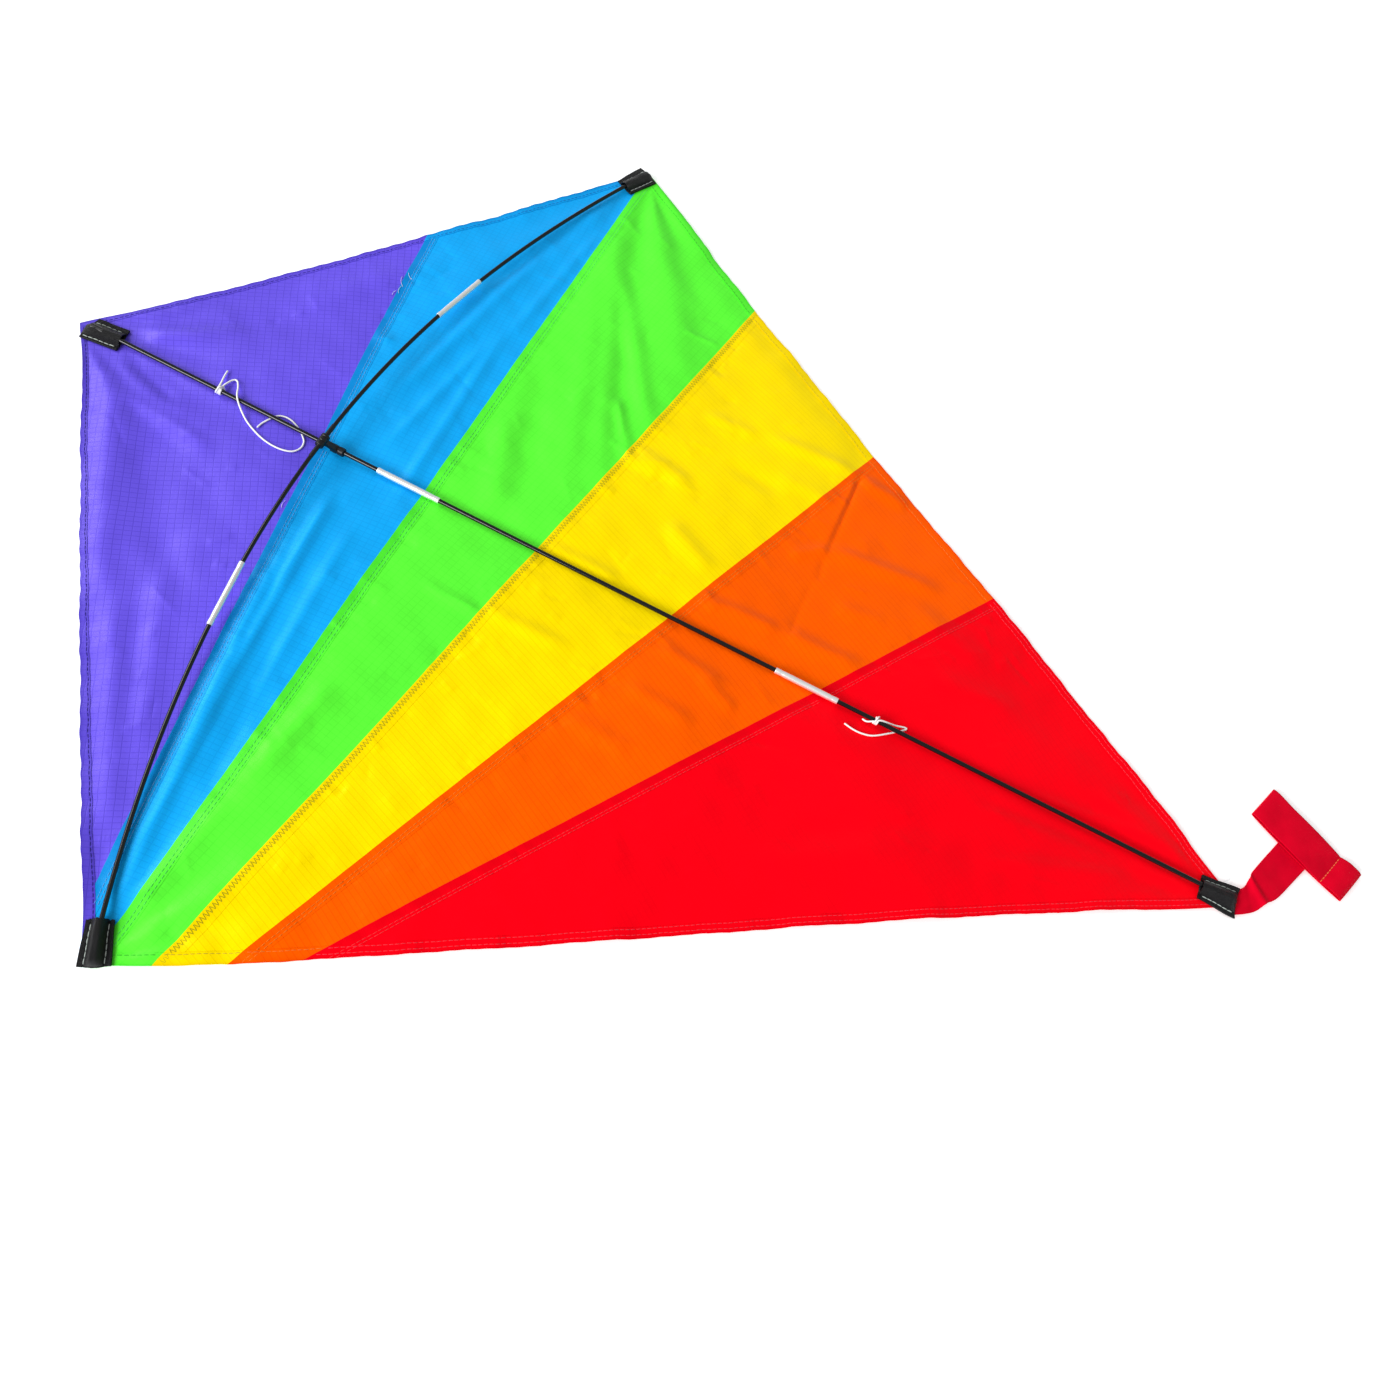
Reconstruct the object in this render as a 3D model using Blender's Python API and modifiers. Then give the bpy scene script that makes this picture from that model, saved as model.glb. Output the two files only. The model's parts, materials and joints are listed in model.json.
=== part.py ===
"""A diamond kite with six coloured sail panels, lying flat with its frame side up.

The spine runs along Y with the nose at +Y, the wings spread along X, and the back of
the sail faces +Z. All sizes are in metres. The origin is at the middle of the
underside of the whole kite, so the lowest strings touch z = 0.
"""

import math

import bmesh
import bpy
from mathutils import Matrix, Vector

MM = 0.001

# The kite's outline. A drop is a distance from the nose towards the tail.
SPINE_LENGTH = 0.900
HALF_SPAN = 0.369
TIP_DROP = 0.266
NOSE_Y = 0.4874

# The sail's panels from nose to tail, and the seams between them: how far down the
# spine each seam crosses it, and its slope in degrees, rising towards +X.
PANEL_COLOURS = ("violet", "blue", "green", "yellow", "orange", "red")
SEAM_DROPS = (0.186, 0.2665, 0.355, 0.4585, 0.5725)
SEAM_SLOPES = (9.8, 0.0, -9.4, -21.0, -33.5)
SAIL_THICKNESS = 0.4 * MM
SEAM_GAP = 0.3 * MM
SPINE_LINE_GAP = 0.3 * MM

# Heights above the lowest string.
STRING_RADIUS = 0.5 * MM
BRIDLE_Z = 0.5 * MM
SAIL_Z = 2.2 * MM
SAIL_TOP = SAIL_Z + SAIL_THICKNESS / 2
POCKET_BASE_Z = SAIL_TOP + 0.3 * MM
SPINE_Z = 6.2 * MM
SPREADER_MIDDLE_Z = 16.2 * MM

# Rods and the metal tubes that join their sections.
SPINE_ROD_RADIUS = 1.5 * MM
SPREADER_ROD_RADIUS = 1.25 * MM
ROD_END_GAP = 0.4 * MM
SPINE_END_INSET = 9.5 * MM
SPREADER_END_X = 0.360
SPREADER_MIDDLE_DROP = 0.193
FERRULE_LENGTH = 48.0 * MM
FERRULE_WALL = 0.5 * MM
ROD_CLEARANCE = 0.3 * MM
SPINE_FERRULE_DROPS = (0.2565, 0.5655)
LEFT_FERRULE_X = -0.134
RIGHT_FERRULE_X = 0.1585

# The moulded cross fitting: one collar on the spine, one on the spreader, and a neck.
COLLAR_RADIUS = 3.1 * MM
COLLAR_LENGTH = 10.0 * MM
SPINE_COLLAR_DROP = 0.2015
SPREADER_COLLAR_X = -4.5 * MM
NECK_WIDTH = 4.5 * MM
NECK_THICKNESS = 2.6 * MM

# Webbing pockets that hold the rods' ends at the four corners.
POCKET_LENGTH = 27.0 * MM
POCKET_WIDTH = 18.0 * MM
POCKET_FLAP = 1.2 * MM
POCKET_BORE_RADIUS = 2.5 * MM
POCKET_WALL = 0.8 * MM
POCKET_END_WALL = 2.0 * MM
POCKET_NOTCH_GAP = 0.6 * MM
NOSE_POCKET_DROP = 3.5 * MM
TAIL_POCKET_DROP = SPINE_LENGTH - 3.5 * MM
STITCH_RADIUS = 0.3 * MM
STITCH_OFFSET = 6.3 * MM
STITCH_MARGIN = 1.5 * MM
END_CAP_LENGTH = 8.0 * MM
END_CAP_WALL = 0.6 * MM
END_CAP_FLOOR = 1.0 * MM

# Bridle: knots on the spine, loose string ends on the sail, and two legs to a loop.
UPPER_KNOT_DROP = 0.109
LOWER_KNOT_DROP = 0.6195
KNOT_TURNS = 2
KNOT_PITCH = 1.3 * MM
TOW_X = 0.250
TOW_DROP = 0.240
TOW_LOOP_LENGTH = 16.0 * MM
TOW_LOOP_WIDTH = 6.0 * MM
LEG_START_X = 3.0 * MM

# Tail ribbon: a strip that leaves the tail pocket, turns, and carries a flat loop.
RIBBON_THICKNESS = 0.6 * MM
RIBBON_Z = 2.4 * MM
LOOP_LENGTH = 80.0 * MM
LOOP_WIDTH = 29.0 * MM
LOOP_THICKNESS = 2.0 * MM
LOOP_GAP = 0.3 * MM
LOOP_TILT = math.radians(22.6)
LOOP_CENTRE_X = 0.0675
LOOP_CENTRE_DROP = 0.936
LOOP_STITCH_INSET = 17.0 * MM

ROUND_STEPS = 24
PATH_STEP = 9.0 * MM

PARTS = "diamond_kite"
CUTTERS = "cutters"

# name: (red, green, blue, roughness, metallic)
MATERIALS = {
    "violet_ripstop": (0.115, 0.07, 0.75, 0.6, 0.0),
    "blue_ripstop": (0.01, 0.37, 0.96, 0.6, 0.0),
    "green_ripstop": (0.11, 0.91, 0.045, 0.6, 0.0),
    "yellow_ripstop": (1.0, 0.74, 0.0, 0.6, 0.0),
    "orange_ripstop": (1.0, 0.14, 0.0, 0.6, 0.0),
    "red_ripstop": (0.91, 0.0, 0.01, 0.6, 0.0),
    "fibreglass": (0.012, 0.012, 0.013, 0.35, 0.0),
    "ferrule_metal": (0.80, 0.78, 0.74, 0.22, 1.0),
    "black_plastic": (0.012, 0.012, 0.014, 0.5, 0.0),
    "black_webbing": (0.012, 0.012, 0.013, 0.85, 0.0),
    "grey_thread": (0.45, 0.48, 0.47, 0.7, 0.0),
    "white_string": (0.85, 0.84, 0.80, 0.8, 0.0),
    "red_ribbon": (0.76, 0.0, 0.015, 0.6, 0.0),
    "orange_thread": (0.85, 0.2, 0.08, 0.7, 0.0),
}


def clear_scene():
    """Remove every object that the file starts with."""
    for obj in list(bpy.data.objects):
        bpy.data.objects.remove(obj, do_unlink=True)


def make_collection(name):
    """Make a collection in the scene."""
    collection = bpy.data.collections.new(name)
    bpy.context.scene.collection.children.link(collection)
    return collection


def make_materials():
    """Make one Principled material for each finish."""
    made = {}
    for name, (red, green, blue, roughness, metallic) in MATERIALS.items():
        material = bpy.data.materials.new(name)
        material.use_nodes = True
        shader = material.node_tree.nodes["Principled BSDF"]
        shader.inputs["Base Color"].default_value = (red, green, blue, 1.0)
        shader.inputs["Roughness"].default_value = roughness
        shader.inputs["Metallic"].default_value = metallic
        material.diffuse_color = (red, green, blue, 1.0)
        made[name] = material
    return made


clear_scene()
parts = make_collection(PARTS)
cutters = make_collection(CUTTERS)
materials = make_materials()


# Helpers that make objects.


def add_part(name, data, finish):
    """Add a named piece of the kite with its finish."""
    obj = bpy.data.objects.new(name, data)
    parts.objects.link(obj)
    data.materials.clear()
    data.materials.append(materials[finish])
    return obj


def add_cutter(name, data):
    """Add a shape that is only used by Boolean modifiers."""
    obj = bpy.data.objects.new(name, data)
    cutters.objects.link(obj)
    obj.hide_render = True
    obj.display_type = "WIRE"
    return obj


def add_boolean(obj, other, operation):
    """Join another shape to a piece, or cut it away."""
    modifier = obj.modifiers.new(other.name, "BOOLEAN")
    modifier.operation = operation
    modifier.solver = "EXACT"
    modifier.object = other


def box_mesh(name, size):
    """Return a box centred on its origin."""
    shape = bmesh.new()
    bmesh.ops.create_cube(shape, size=1.0, matrix=Matrix.Diagonal((*size, 1.0)))
    mesh = bpy.data.meshes.new(name)
    shape.to_mesh(mesh)
    shape.free()
    return mesh


def cylinder_mesh(name, radius, length):
    """Return a cylinder along its own Z axis, centred on its origin."""
    shape = bmesh.new()
    bmesh.ops.create_cone(
        shape,
        cap_ends=True,
        segments=ROUND_STEPS,
        radius1=radius,
        radius2=radius,
        depth=length,
    )
    mesh = bpy.data.meshes.new(name)
    shape.to_mesh(mesh)
    shape.free()
    mesh.shade_smooth()
    mesh.set_sharp_from_angle(angle=math.radians(40))
    return mesh


def outline_curve(name, points, thickness):
    """Return a flat 2D curve with a thickness, filled on both sides."""
    curve = bpy.data.curves.new(name, "CURVE")
    curve.dimensions = "2D"
    curve.fill_mode = "BOTH"
    curve.extrude = thickness / 2
    spline = curve.splines.new("POLY")
    spline.points.add(len(points) - 1)
    for point, (x, y) in zip(spline.points, points):
        point.co = (x, y, 0.0, 1.0)
    spline.use_cyclic_u = True
    return curve


def wire_curve(name, points, radius, closed=False):
    """Return a round wire or rod through the points."""
    curve = bpy.data.curves.new(name, "CURVE")
    curve.dimensions = "3D"
    curve.bevel_depth = radius
    curve.bevel_resolution = 2
    curve.use_fill_caps = not closed
    spline = curve.splines.new("POLY")
    spline.points.add(len(points) - 1)
    for point, position in zip(spline.points, points):
        point.co = (*position, 1.0)
    spline.use_cyclic_u = closed
    spline.use_smooth = True
    return curve


def mesh_from_curve(obj):
    """Return a new object that holds the curve as a welded mesh, in the same place."""
    bpy.context.view_layer.update()
    evaluated = obj.evaluated_get(bpy.context.evaluated_depsgraph_get())
    mesh = bpy.data.meshes.new_from_object(evaluated)
    shape = bmesh.new()
    shape.from_mesh(mesh)
    bmesh.ops.remove_doubles(shape, verts=shape.verts, dist=0.01 * MM)
    bmesh.ops.recalc_face_normals(shape, faces=shape.faces)
    shape.to_mesh(mesh)
    shape.free()
    name = obj.name
    matrix = obj.matrix_world.copy()
    collection = obj.users_collection[0]
    bpy.data.objects.remove(obj, do_unlink=True)
    solid = bpy.data.objects.new(name, mesh)
    collection.objects.link(solid)
    solid.matrix_world = matrix
    return solid


def turned_part(name, profile, finish):
    """Add a piece turned about its own Z axis from a (radius, height) profile.

    The profile runs down the outer side. It is closed unless it starts on the axis.
    """
    mesh = bpy.data.meshes.new(name)
    shape = bmesh.new()
    corners = [shape.verts.new((radius, 0.0, height)) for radius, height in profile]
    following = corners[1:]
    if profile[0][0] > 0:
        following = following + corners[:1]
    for start, end in zip(corners, following):
        shape.edges.new((start, end))
    shape.to_mesh(mesh)
    shape.free()
    obj = add_part(name, mesh, finish)
    screw = obj.modifiers.new("turn", "SCREW")
    screw.steps = ROUND_STEPS
    screw.render_steps = ROUND_STEPS
    screw.use_merge_vertices = True
    screw.merge_threshold = 0.01 * MM
    return obj


def facing(direction, position):
    """Return the matrix that turns +Z to a direction and moves to a position."""
    turn = Vector(direction).to_track_quat("Z", "Y").to_matrix().to_4x4()
    return Matrix.Translation(position) @ turn


def smooth_path(points, steps):
    """Return a smooth path through the points, by Catmull-Rom interpolation."""
    anchors = [Vector(point) for point in points]
    anchors = [anchors[0] * 2 - anchors[1]] + anchors + [anchors[-1] * 2 - anchors[-2]]
    path = []
    for before, start, end, after in zip(anchors, anchors[1:], anchors[2:], anchors[3:]):
        for step in range(steps):
            t = step / steps
            path.append(
                0.5
                * (
                    2 * start
                    + (end - before) * t
                    + (2 * before - 5 * start + 4 * end - after) * t**2
                    + (3 * start - before - 3 * end + after) * t**3
                )
            )
    path.append(anchors[-2])
    return path


# The sail.


def clip(points, normal, limit):
    """Return the part of a convex outline where normal . point is at most the limit."""
    kept = []
    for start, end in zip(points, points[1:] + points[:1]):
        start_side = normal[0] * start[0] + normal[1] * start[1] - limit
        end_side = normal[0] * end[0] + normal[1] * end[1] - limit
        if start_side <= 0:
            kept.append(start)
        if start_side * end_side < 0:
            part = start_side / (start_side - end_side)
            kept.append(
                (
                    start[0] + part * (end[0] - start[0]),
                    start[1] + part * (end[1] - start[1]),
                )
            )
    return kept


def seam_line(index):
    """Return a seam's upward normal and its distance along that normal."""
    slope = math.radians(SEAM_SLOPES[index])
    normal = (-math.sin(slope), math.cos(slope))
    return normal, normal[1] * (NOSE_Y - SEAM_DROPS[index])


def panel_outline(index, side):
    """Return one half panel's outline: side is -1 for the left wing, 1 for the right."""
    outline = [
        (0.0, NOSE_Y),
        (side * HALF_SPAN, NOSE_Y - TIP_DROP),
        (0.0, NOSE_Y - SPINE_LENGTH),
    ]
    outline = clip(outline, (-side, 0.0), -SPINE_LINE_GAP)
    if index > 0:
        normal, distance = seam_line(index - 1)
        outline = clip(outline, normal, distance - SEAM_GAP / 2)
    if index < len(SEAM_DROPS):
        normal, distance = seam_line(index)
        outline = clip(outline, (-normal[0], -normal[1]), -distance - SEAM_GAP / 2)
    return outline


def make_sail():
    """Make the twelve half panels, with room for the nose and tail pockets."""
    notches = [
        notch_cutter("nose_notch", -0.01, NOSE_POCKET_DROP + POCKET_LENGTH),
        notch_cutter("tail_notch", TAIL_POCKET_DROP - POCKET_LENGTH, SPINE_LENGTH + 0.01),
    ]
    for index, colour in enumerate(PANEL_COLOURS):
        for side, side_name in ((-1, "left"), (1, "right")):
            name = f"{colour}_panel_{side_name}"
            curve = outline_curve(name, panel_outline(index, side), SAIL_THICKNESS)
            panel = add_part(name, curve, f"{colour}_ripstop")
            panel.location = (0.0, 0.0, SAIL_Z)
            panel = mesh_from_curve(panel)
            if index == 0:
                add_boolean(panel, notches[0], "DIFFERENCE")
            if index == len(PANEL_COLOURS) - 1:
                add_boolean(panel, notches[1], "DIFFERENCE")


def notch_cutter(name, first_drop, last_drop):
    """Return a box that clears the sail away under a pocket on the spine."""
    length = last_drop - first_drop + 2 * POCKET_NOTCH_GAP
    width = POCKET_WIDTH + 2 * POCKET_NOTCH_GAP
    cutter = add_cutter(name, box_mesh(name, (width, length, 4 * MM)))
    cutter.location = (0.0, NOSE_Y - (first_drop + last_drop) / 2, SAIL_Z)
    return cutter


# The rods, and the path that the bent spreader follows.


def spreader_point(x):
    """Return the point of the bent spreader at x: an arc that also dips to its ends."""
    sagitta = TIP_DROP - SPREADER_MIDDLE_DROP
    radius = (SPREADER_END_X**2 + sagitta**2) / (2 * sagitta)
    drop = SPREADER_MIDDLE_DROP + radius - math.sqrt(radius**2 - x**2)
    lift = math.cos(math.pi / 2 * x / SPREADER_END_X) ** 2
    return Vector((x, NOSE_Y - drop, SPINE_Z + (SPREADER_MIDDLE_Z - SPINE_Z) * lift))


def ferrule_ends(x):
    """Return the two points of the spreader's path where a ferrule at x ends."""
    along = (spreader_point(x + MM) - spreader_point(x - MM)).normalized()
    half = along.x * FERRULE_LENGTH / 2
    return spreader_point(x - half), spreader_point(x + half)


def section_end(x, side):
    """Return the path of a section's end at x: side is 1 if the section goes on to +X.

    A ferrule holds the rod straight, so the path has no other point inside one.
    """
    if abs(x) >= SPREADER_END_X:
        return [spreader_point(x)]
    low, high = ferrule_ends(x)
    along = (high - low).normalized()
    end = (low + high) / 2 + along * side * ROD_END_GAP
    if side > 0:
        return [end, high]
    return [low, end]


def spreader_section(first_x, last_x):
    """Return the path of one section of the spreader."""
    first = section_end(first_x, 1)
    last = section_end(last_x, -1)
    start = first[-1].x
    length = last[0].x - start
    steps = round(length / PATH_STEP)
    bend = [spreader_point(start + length * step / steps) for step in range(1, steps)]
    return first + bend + last


def make_rods():
    """Make the three sections of the spine and the three of the spreader."""
    front, rear = SPINE_FERRULE_DROPS
    last = SPINE_LENGTH - SPINE_END_INSET
    spine = (
        ("spine_nose_rod", SPINE_END_INSET, front - ROD_END_GAP),
        ("spine_middle_rod", front + ROD_END_GAP, rear - ROD_END_GAP),
        ("spine_tail_rod", rear + ROD_END_GAP, last),
    )
    for name, first_drop, last_drop in spine:
        length = last_drop - first_drop
        rod = add_part(name, cylinder_mesh(name, SPINE_ROD_RADIUS, length), "fibreglass")
        rod.rotation_euler = (math.pi / 2, 0.0, 0.0)
        rod.location = (0.0, NOSE_Y - (first_drop + last_drop) / 2, SPINE_Z)
    spreader = (
        ("spreader_left_rod", -SPREADER_END_X, LEFT_FERRULE_X),
        ("spreader_center_rod", LEFT_FERRULE_X, RIGHT_FERRULE_X),
        ("spreader_right_rod", RIGHT_FERRULE_X, SPREADER_END_X),
    )
    for name, first_x, last_x in spreader:
        path = spreader_section(first_x, last_x)
        add_part(name, wire_curve(name, path, SPREADER_ROD_RADIUS), "fibreglass")


def make_ferrule(name, rod_radius, centre, direction):
    """Make one metal tube over the joint between two rod sections."""
    inner = rod_radius + ROD_CLEARANCE
    outer = inner + FERRULE_WALL
    half = FERRULE_LENGTH / 2
    profile = [(outer, half), (outer, -half), (inner, -half), (inner, half)]
    ferrule = turned_part(name, profile, "ferrule_metal")
    ferrule.matrix_world = facing(direction, centre)


def make_ferrules():
    """Make the four ferrules."""
    for name, drop in zip(("spine_front_ferrule", "spine_rear_ferrule"), SPINE_FERRULE_DROPS):
        make_ferrule(name, SPINE_ROD_RADIUS, (0.0, NOSE_Y - drop, SPINE_Z), (0, 1, 0))
    for name, x in (
        ("spreader_left_ferrule", LEFT_FERRULE_X),
        ("spreader_right_ferrule", RIGHT_FERRULE_X),
    ):
        low, high = ferrule_ends(x)
        make_ferrule(name, SPREADER_ROD_RADIUS, (low + high) / 2, high - low)


# The cross fitting.


def make_cross_fitting():
    """Make the moulded fitting: two collars at right angles, joined by a slanted neck."""
    spine_centre = Vector((0.0, NOSE_Y - SPINE_COLLAR_DROP, SPINE_Z))
    spreader_centre = spreader_point(SPREADER_COLLAR_X)
    along_spreader = spreader_point(SPREADER_COLLAR_X + MM) - spreader_point(SPREADER_COLLAR_X - MM)
    name = "cross_fitting"
    fitting = add_part(name, cylinder_mesh(name, COLLAR_RADIUS, COLLAR_LENGTH), "black_plastic")
    fitting.matrix_world = facing((0, 1, 0), spine_centre)

    upper = add_cutter("upper_collar", cylinder_mesh("upper_collar", COLLAR_RADIUS, COLLAR_LENGTH))
    upper.matrix_world = facing(along_spreader, spreader_centre)
    add_boolean(fitting, upper, "UNION")

    reach = spreader_centre - spine_centre
    neck_size = (NECK_WIDTH, NECK_THICKNESS, reach.length)
    neck = add_cutter("neck", box_mesh("neck", neck_size))
    neck.matrix_world = facing(reach, (spine_centre + spreader_centre) / 2)
    add_boolean(fitting, neck, "UNION")

    bore_length = COLLAR_LENGTH * 2
    bores = (
        ("spine_bore", SPINE_ROD_RADIUS, (0, 1, 0), spine_centre),
        ("spreader_bore", SPREADER_ROD_RADIUS, along_spreader, spreader_centre),
    )
    for bore_name, radius, direction, centre in bores:
        mesh = cylinder_mesh(bore_name, radius + ROD_CLEARANCE, bore_length)
        bore = add_cutter(bore_name, mesh)
        bore.matrix_world = facing(direction, centre)
        add_boolean(fitting, bore, "DIFFERENCE")


# The corner pockets, the caps inside them, and their stitching.


def pocket_profile():
    """Return the webbing's section: two flat flaps with a round tunnel between them."""
    half = POCKET_WIDTH / 2
    axis_height = SPINE_Z - POCKET_BASE_Z
    radius = POCKET_BORE_RADIUS + POCKET_WALL
    low_angle = math.asin((POCKET_FLAP - axis_height) / radius)
    steps = 14
    profile = [(-half, 0.0), (half, 0.0), (half, POCKET_FLAP)]
    for step in range(steps + 1):
        angle = low_angle + (math.pi - 2 * low_angle) * step / steps
        profile.append((radius * math.cos(angle), axis_height + radius * math.sin(angle)))
    profile.append((-half, POCKET_FLAP))
    return profile


def corner_frame(closed_end, inward):
    """Return a corner's matrix: X across, Y up, Z from the closed end to the mouth."""
    z_axis = Vector((inward[0], inward[1], 0.0)).normalized()
    y_axis = Vector((0.0, 0.0, 1.0))
    x_axis = y_axis.cross(z_axis)
    turn = Matrix((x_axis, y_axis, z_axis)).transposed().to_4x4()
    return Matrix.Translation((closed_end[0], closed_end[1], POCKET_BASE_Z)) @ turn


def make_pocket(name, frame):
    """Make one webbing pocket with a blind bore that opens towards the kite's middle."""
    curve = outline_curve(name, pocket_profile(), POCKET_LENGTH)
    pocket = add_part(name, curve, "black_webbing")
    pocket.matrix_world = frame @ Matrix.Translation((0, 0, POCKET_LENGTH / 2))
    pocket = mesh_from_curve(pocket)
    depth = POCKET_LENGTH - POCKET_END_WALL + 2 * MM
    bore_name = name + "_bore"
    bore = add_cutter(bore_name, cylinder_mesh(bore_name, POCKET_BORE_RADIUS, depth))
    place = (0, SPINE_Z - POCKET_BASE_Z, POCKET_END_WALL + depth / 2)
    bore.matrix_world = frame @ Matrix.Translation(place)
    add_boolean(pocket, bore, "DIFFERENCE")


def make_stitches(name, frame):
    """Make the two rows of stitching, one on each flap of a pocket."""
    height = POCKET_FLAP + 0.3 * MM + STITCH_RADIUS
    length = POCKET_LENGTH - 2 * STITCH_MARGIN
    for side, side_name in ((-1, "left"), (1, "right")):
        row_name = f"{name}_stitch_{side_name}"
        mesh = cylinder_mesh(row_name, STITCH_RADIUS, length)
        row = add_part(row_name, mesh, "grey_thread")
        place = (side * STITCH_OFFSET, height, POCKET_LENGTH / 2)
        row.matrix_world = frame @ Matrix.Translation(place)


def make_end_cap(name, rod_radius, rod_end, inward):
    """Make the plastic cap on a rod's end."""
    inner = rod_radius + ROD_CLEARANCE
    outer = inner + END_CAP_WALL
    floor = -END_CAP_FLOOR - ROD_CLEARANCE
    profile = [
        (0.0, floor + END_CAP_FLOOR),
        (inner, floor + END_CAP_FLOOR),
        (inner, END_CAP_LENGTH),
        (outer, END_CAP_LENGTH),
        (outer, floor),
        (0.0, floor),
    ]
    cap = turned_part(name, profile, "black_plastic")
    cap.matrix_world = facing(inward, rod_end)


def make_corners():
    """Make the pocket, stitching and end cap at each corner."""
    spine_nose = (0.0, NOSE_Y - SPINE_END_INSET, SPINE_Z)
    spine_tail = (0.0, NOSE_Y - SPINE_LENGTH + SPINE_END_INSET, SPINE_Z)
    corners = [
        ("nose", (0.0, NOSE_Y - NOSE_POCKET_DROP), (0.0, -1.0), spine_nose, SPINE_ROD_RADIUS),
        ("tail", (0.0, NOSE_Y - TAIL_POCKET_DROP), (0.0, 1.0), spine_tail, SPINE_ROD_RADIUS),
    ]
    for side, name in ((-1, "left_tip"), (1, "right_tip")):
        end = spreader_point(side * SPREADER_END_X)
        inward = (spreader_point(side * (SPREADER_END_X - POCKET_LENGTH)) - end).normalized()
        closed_end = end - inward * (SPINE_END_INSET - NOSE_POCKET_DROP)
        corners.append((name, closed_end, inward, end, SPREADER_ROD_RADIUS))
    for name, closed_end, inward, rod_end, rod_radius in corners:
        frame = corner_frame(closed_end, inward)
        make_pocket(f"{name}_pocket", frame)
        make_stitches(f"{name}_pocket", frame)
        make_end_cap(f"{name}_end_cap", rod_radius, rod_end, (inward[0], inward[1], 0.0))


# The bridle.


def make_knot(name, drop):
    """Make the coil of string that is tied round the spine."""
    radius = SPINE_ROD_RADIUS + ROD_CLEARANCE + STRING_RADIUS
    steps = 14 * KNOT_TURNS
    path = []
    for step in range(steps + 1):
        angle = 2 * math.pi * KNOT_TURNS * step / steps
        y = NOSE_Y - drop + KNOT_PITCH * KNOT_TURNS * (0.5 - step / steps)
        path.append((radius * math.sin(angle), y, SPINE_Z + radius * math.cos(angle)))
    add_part(name, wire_curve(name, path, STRING_RADIUS), "white_string")


def make_loose_strings():
    """Make the loose ends of the bridle line, which lie on the sail by each knot."""
    on_sail = SAIL_TOP + 0.4 * MM + STRING_RADIUS
    over_spine = SPINE_Z + SPINE_ROD_RADIUS + 0.4 * MM + STRING_RADIUS
    upper = (
        (3.5, 110.5, SPINE_Z / MM),
        (13.0, 112.5, on_sail / MM),
        (8.0, 118.0, over_spine / MM),
        (0.0, 122.5, over_spine / MM + 0.2),
        (-8.0, 131.5, on_sail / MM),
        (-17.0, 148.5, on_sail / MM),
        (-17.5, 170.0, on_sail / MM),
        (-8.0, 178.5, on_sail / MM),
        (3.0, 168.0, on_sail / MM),
        (4.5, 153.5, on_sail / MM),
        (-4.0, 147.0, on_sail / MM),
        (-12.0, 145.5, on_sail / MM),
    )
    lower = (
        (-3.6, 609.5, on_sail / MM),
        (-4.6, 615.0, SPINE_Z / MM),
        (-2.0, 623.5, over_spine / MM),
        (2.0, 628.0, over_spine / MM),
        (7.0, 633.5, on_sail / MM + 1.0),
        (8.5, 638.0, on_sail / MM),
        (4.0, 636.0, on_sail / MM),
        (-3.0, 628.5, on_sail / MM),
        (-9.5, 617.0, on_sail / MM),
        (-10.0, 600.0, on_sail / MM),
    )
    for name, anchors in (("upper_loose_string", upper), ("lower_loose_string", lower)):
        points = [(x * MM, NOSE_Y - drop * MM, z * MM) for x, drop, z in anchors]
        add_part(name, wire_curve(name, smooth_path(points, 5), STRING_RADIUS), "white_string")


def make_bridle():
    """Make the knots, and the bridle's legs and tow loop folded flat under the sail."""
    make_knot("bridle_upper_knot", UPPER_KNOT_DROP)
    make_knot("bridle_lower_knot", LOWER_KNOT_DROP)
    make_loose_strings()
    tow = Vector((TOW_X, NOSE_Y - TOW_DROP, BRIDLE_Z))
    for name, drop, offset in (
        ("bridle_upper_leg", UPPER_KNOT_DROP, 1.0),
        ("bridle_lower_leg", LOWER_KNOT_DROP, -1.0),
    ):
        start = Vector((LEG_START_X, NOSE_Y - drop, BRIDLE_Z))
        end = tow + Vector((-2.0 * STRING_RADIUS, offset * 2.0 * STRING_RADIUS, 0.0))
        add_part(name, wire_curve(name, [start, end], STRING_RADIUS), "white_string")
    loop = []
    steps = 20
    for step in range(steps):
        angle = 2 * math.pi * step / steps
        x = tow.x + 1.2 * MM + TOW_LOOP_LENGTH / 2 * (1 - math.cos(angle))
        loop.append((x, tow.y + TOW_LOOP_WIDTH / 2 * math.sin(angle), BRIDLE_Z))
    name = "bridle_tow_loop"
    add_part(name, wire_curve(name, loop, STRING_RADIUS, closed=True), "white_string")


# The tail ribbon.


def make_ribbon():
    """Make the strip that leaves the tail pocket and turns towards the right wing."""
    tail_y = NOSE_Y - SPINE_LENGTH
    outline = [
        (-0.0075, tail_y - 0.6 * MM),
        (0.0175, tail_y - 0.6 * MM),
        (0.0190, tail_y - 2.5 * MM),
        (0.0330, tail_y - 5.5 * MM),
        (0.0560, tail_y - 13.0 * MM),
        (0.0490, tail_y - 38.5 * MM),
        (0.0340, tail_y - 31.5 * MM),
        (0.0170, tail_y - 23.0 * MM),
        (0.0040, tail_y - 13.5 * MM),
        (0.0010, tail_y - 11.5 * MM),
    ]
    name = "tail_ribbon"
    ribbon = add_part(name, outline_curve(name, outline, RIBBON_THICKNESS), "red_ribbon")
    ribbon.location = (0.0, 0.0, RIBBON_Z)


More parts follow.
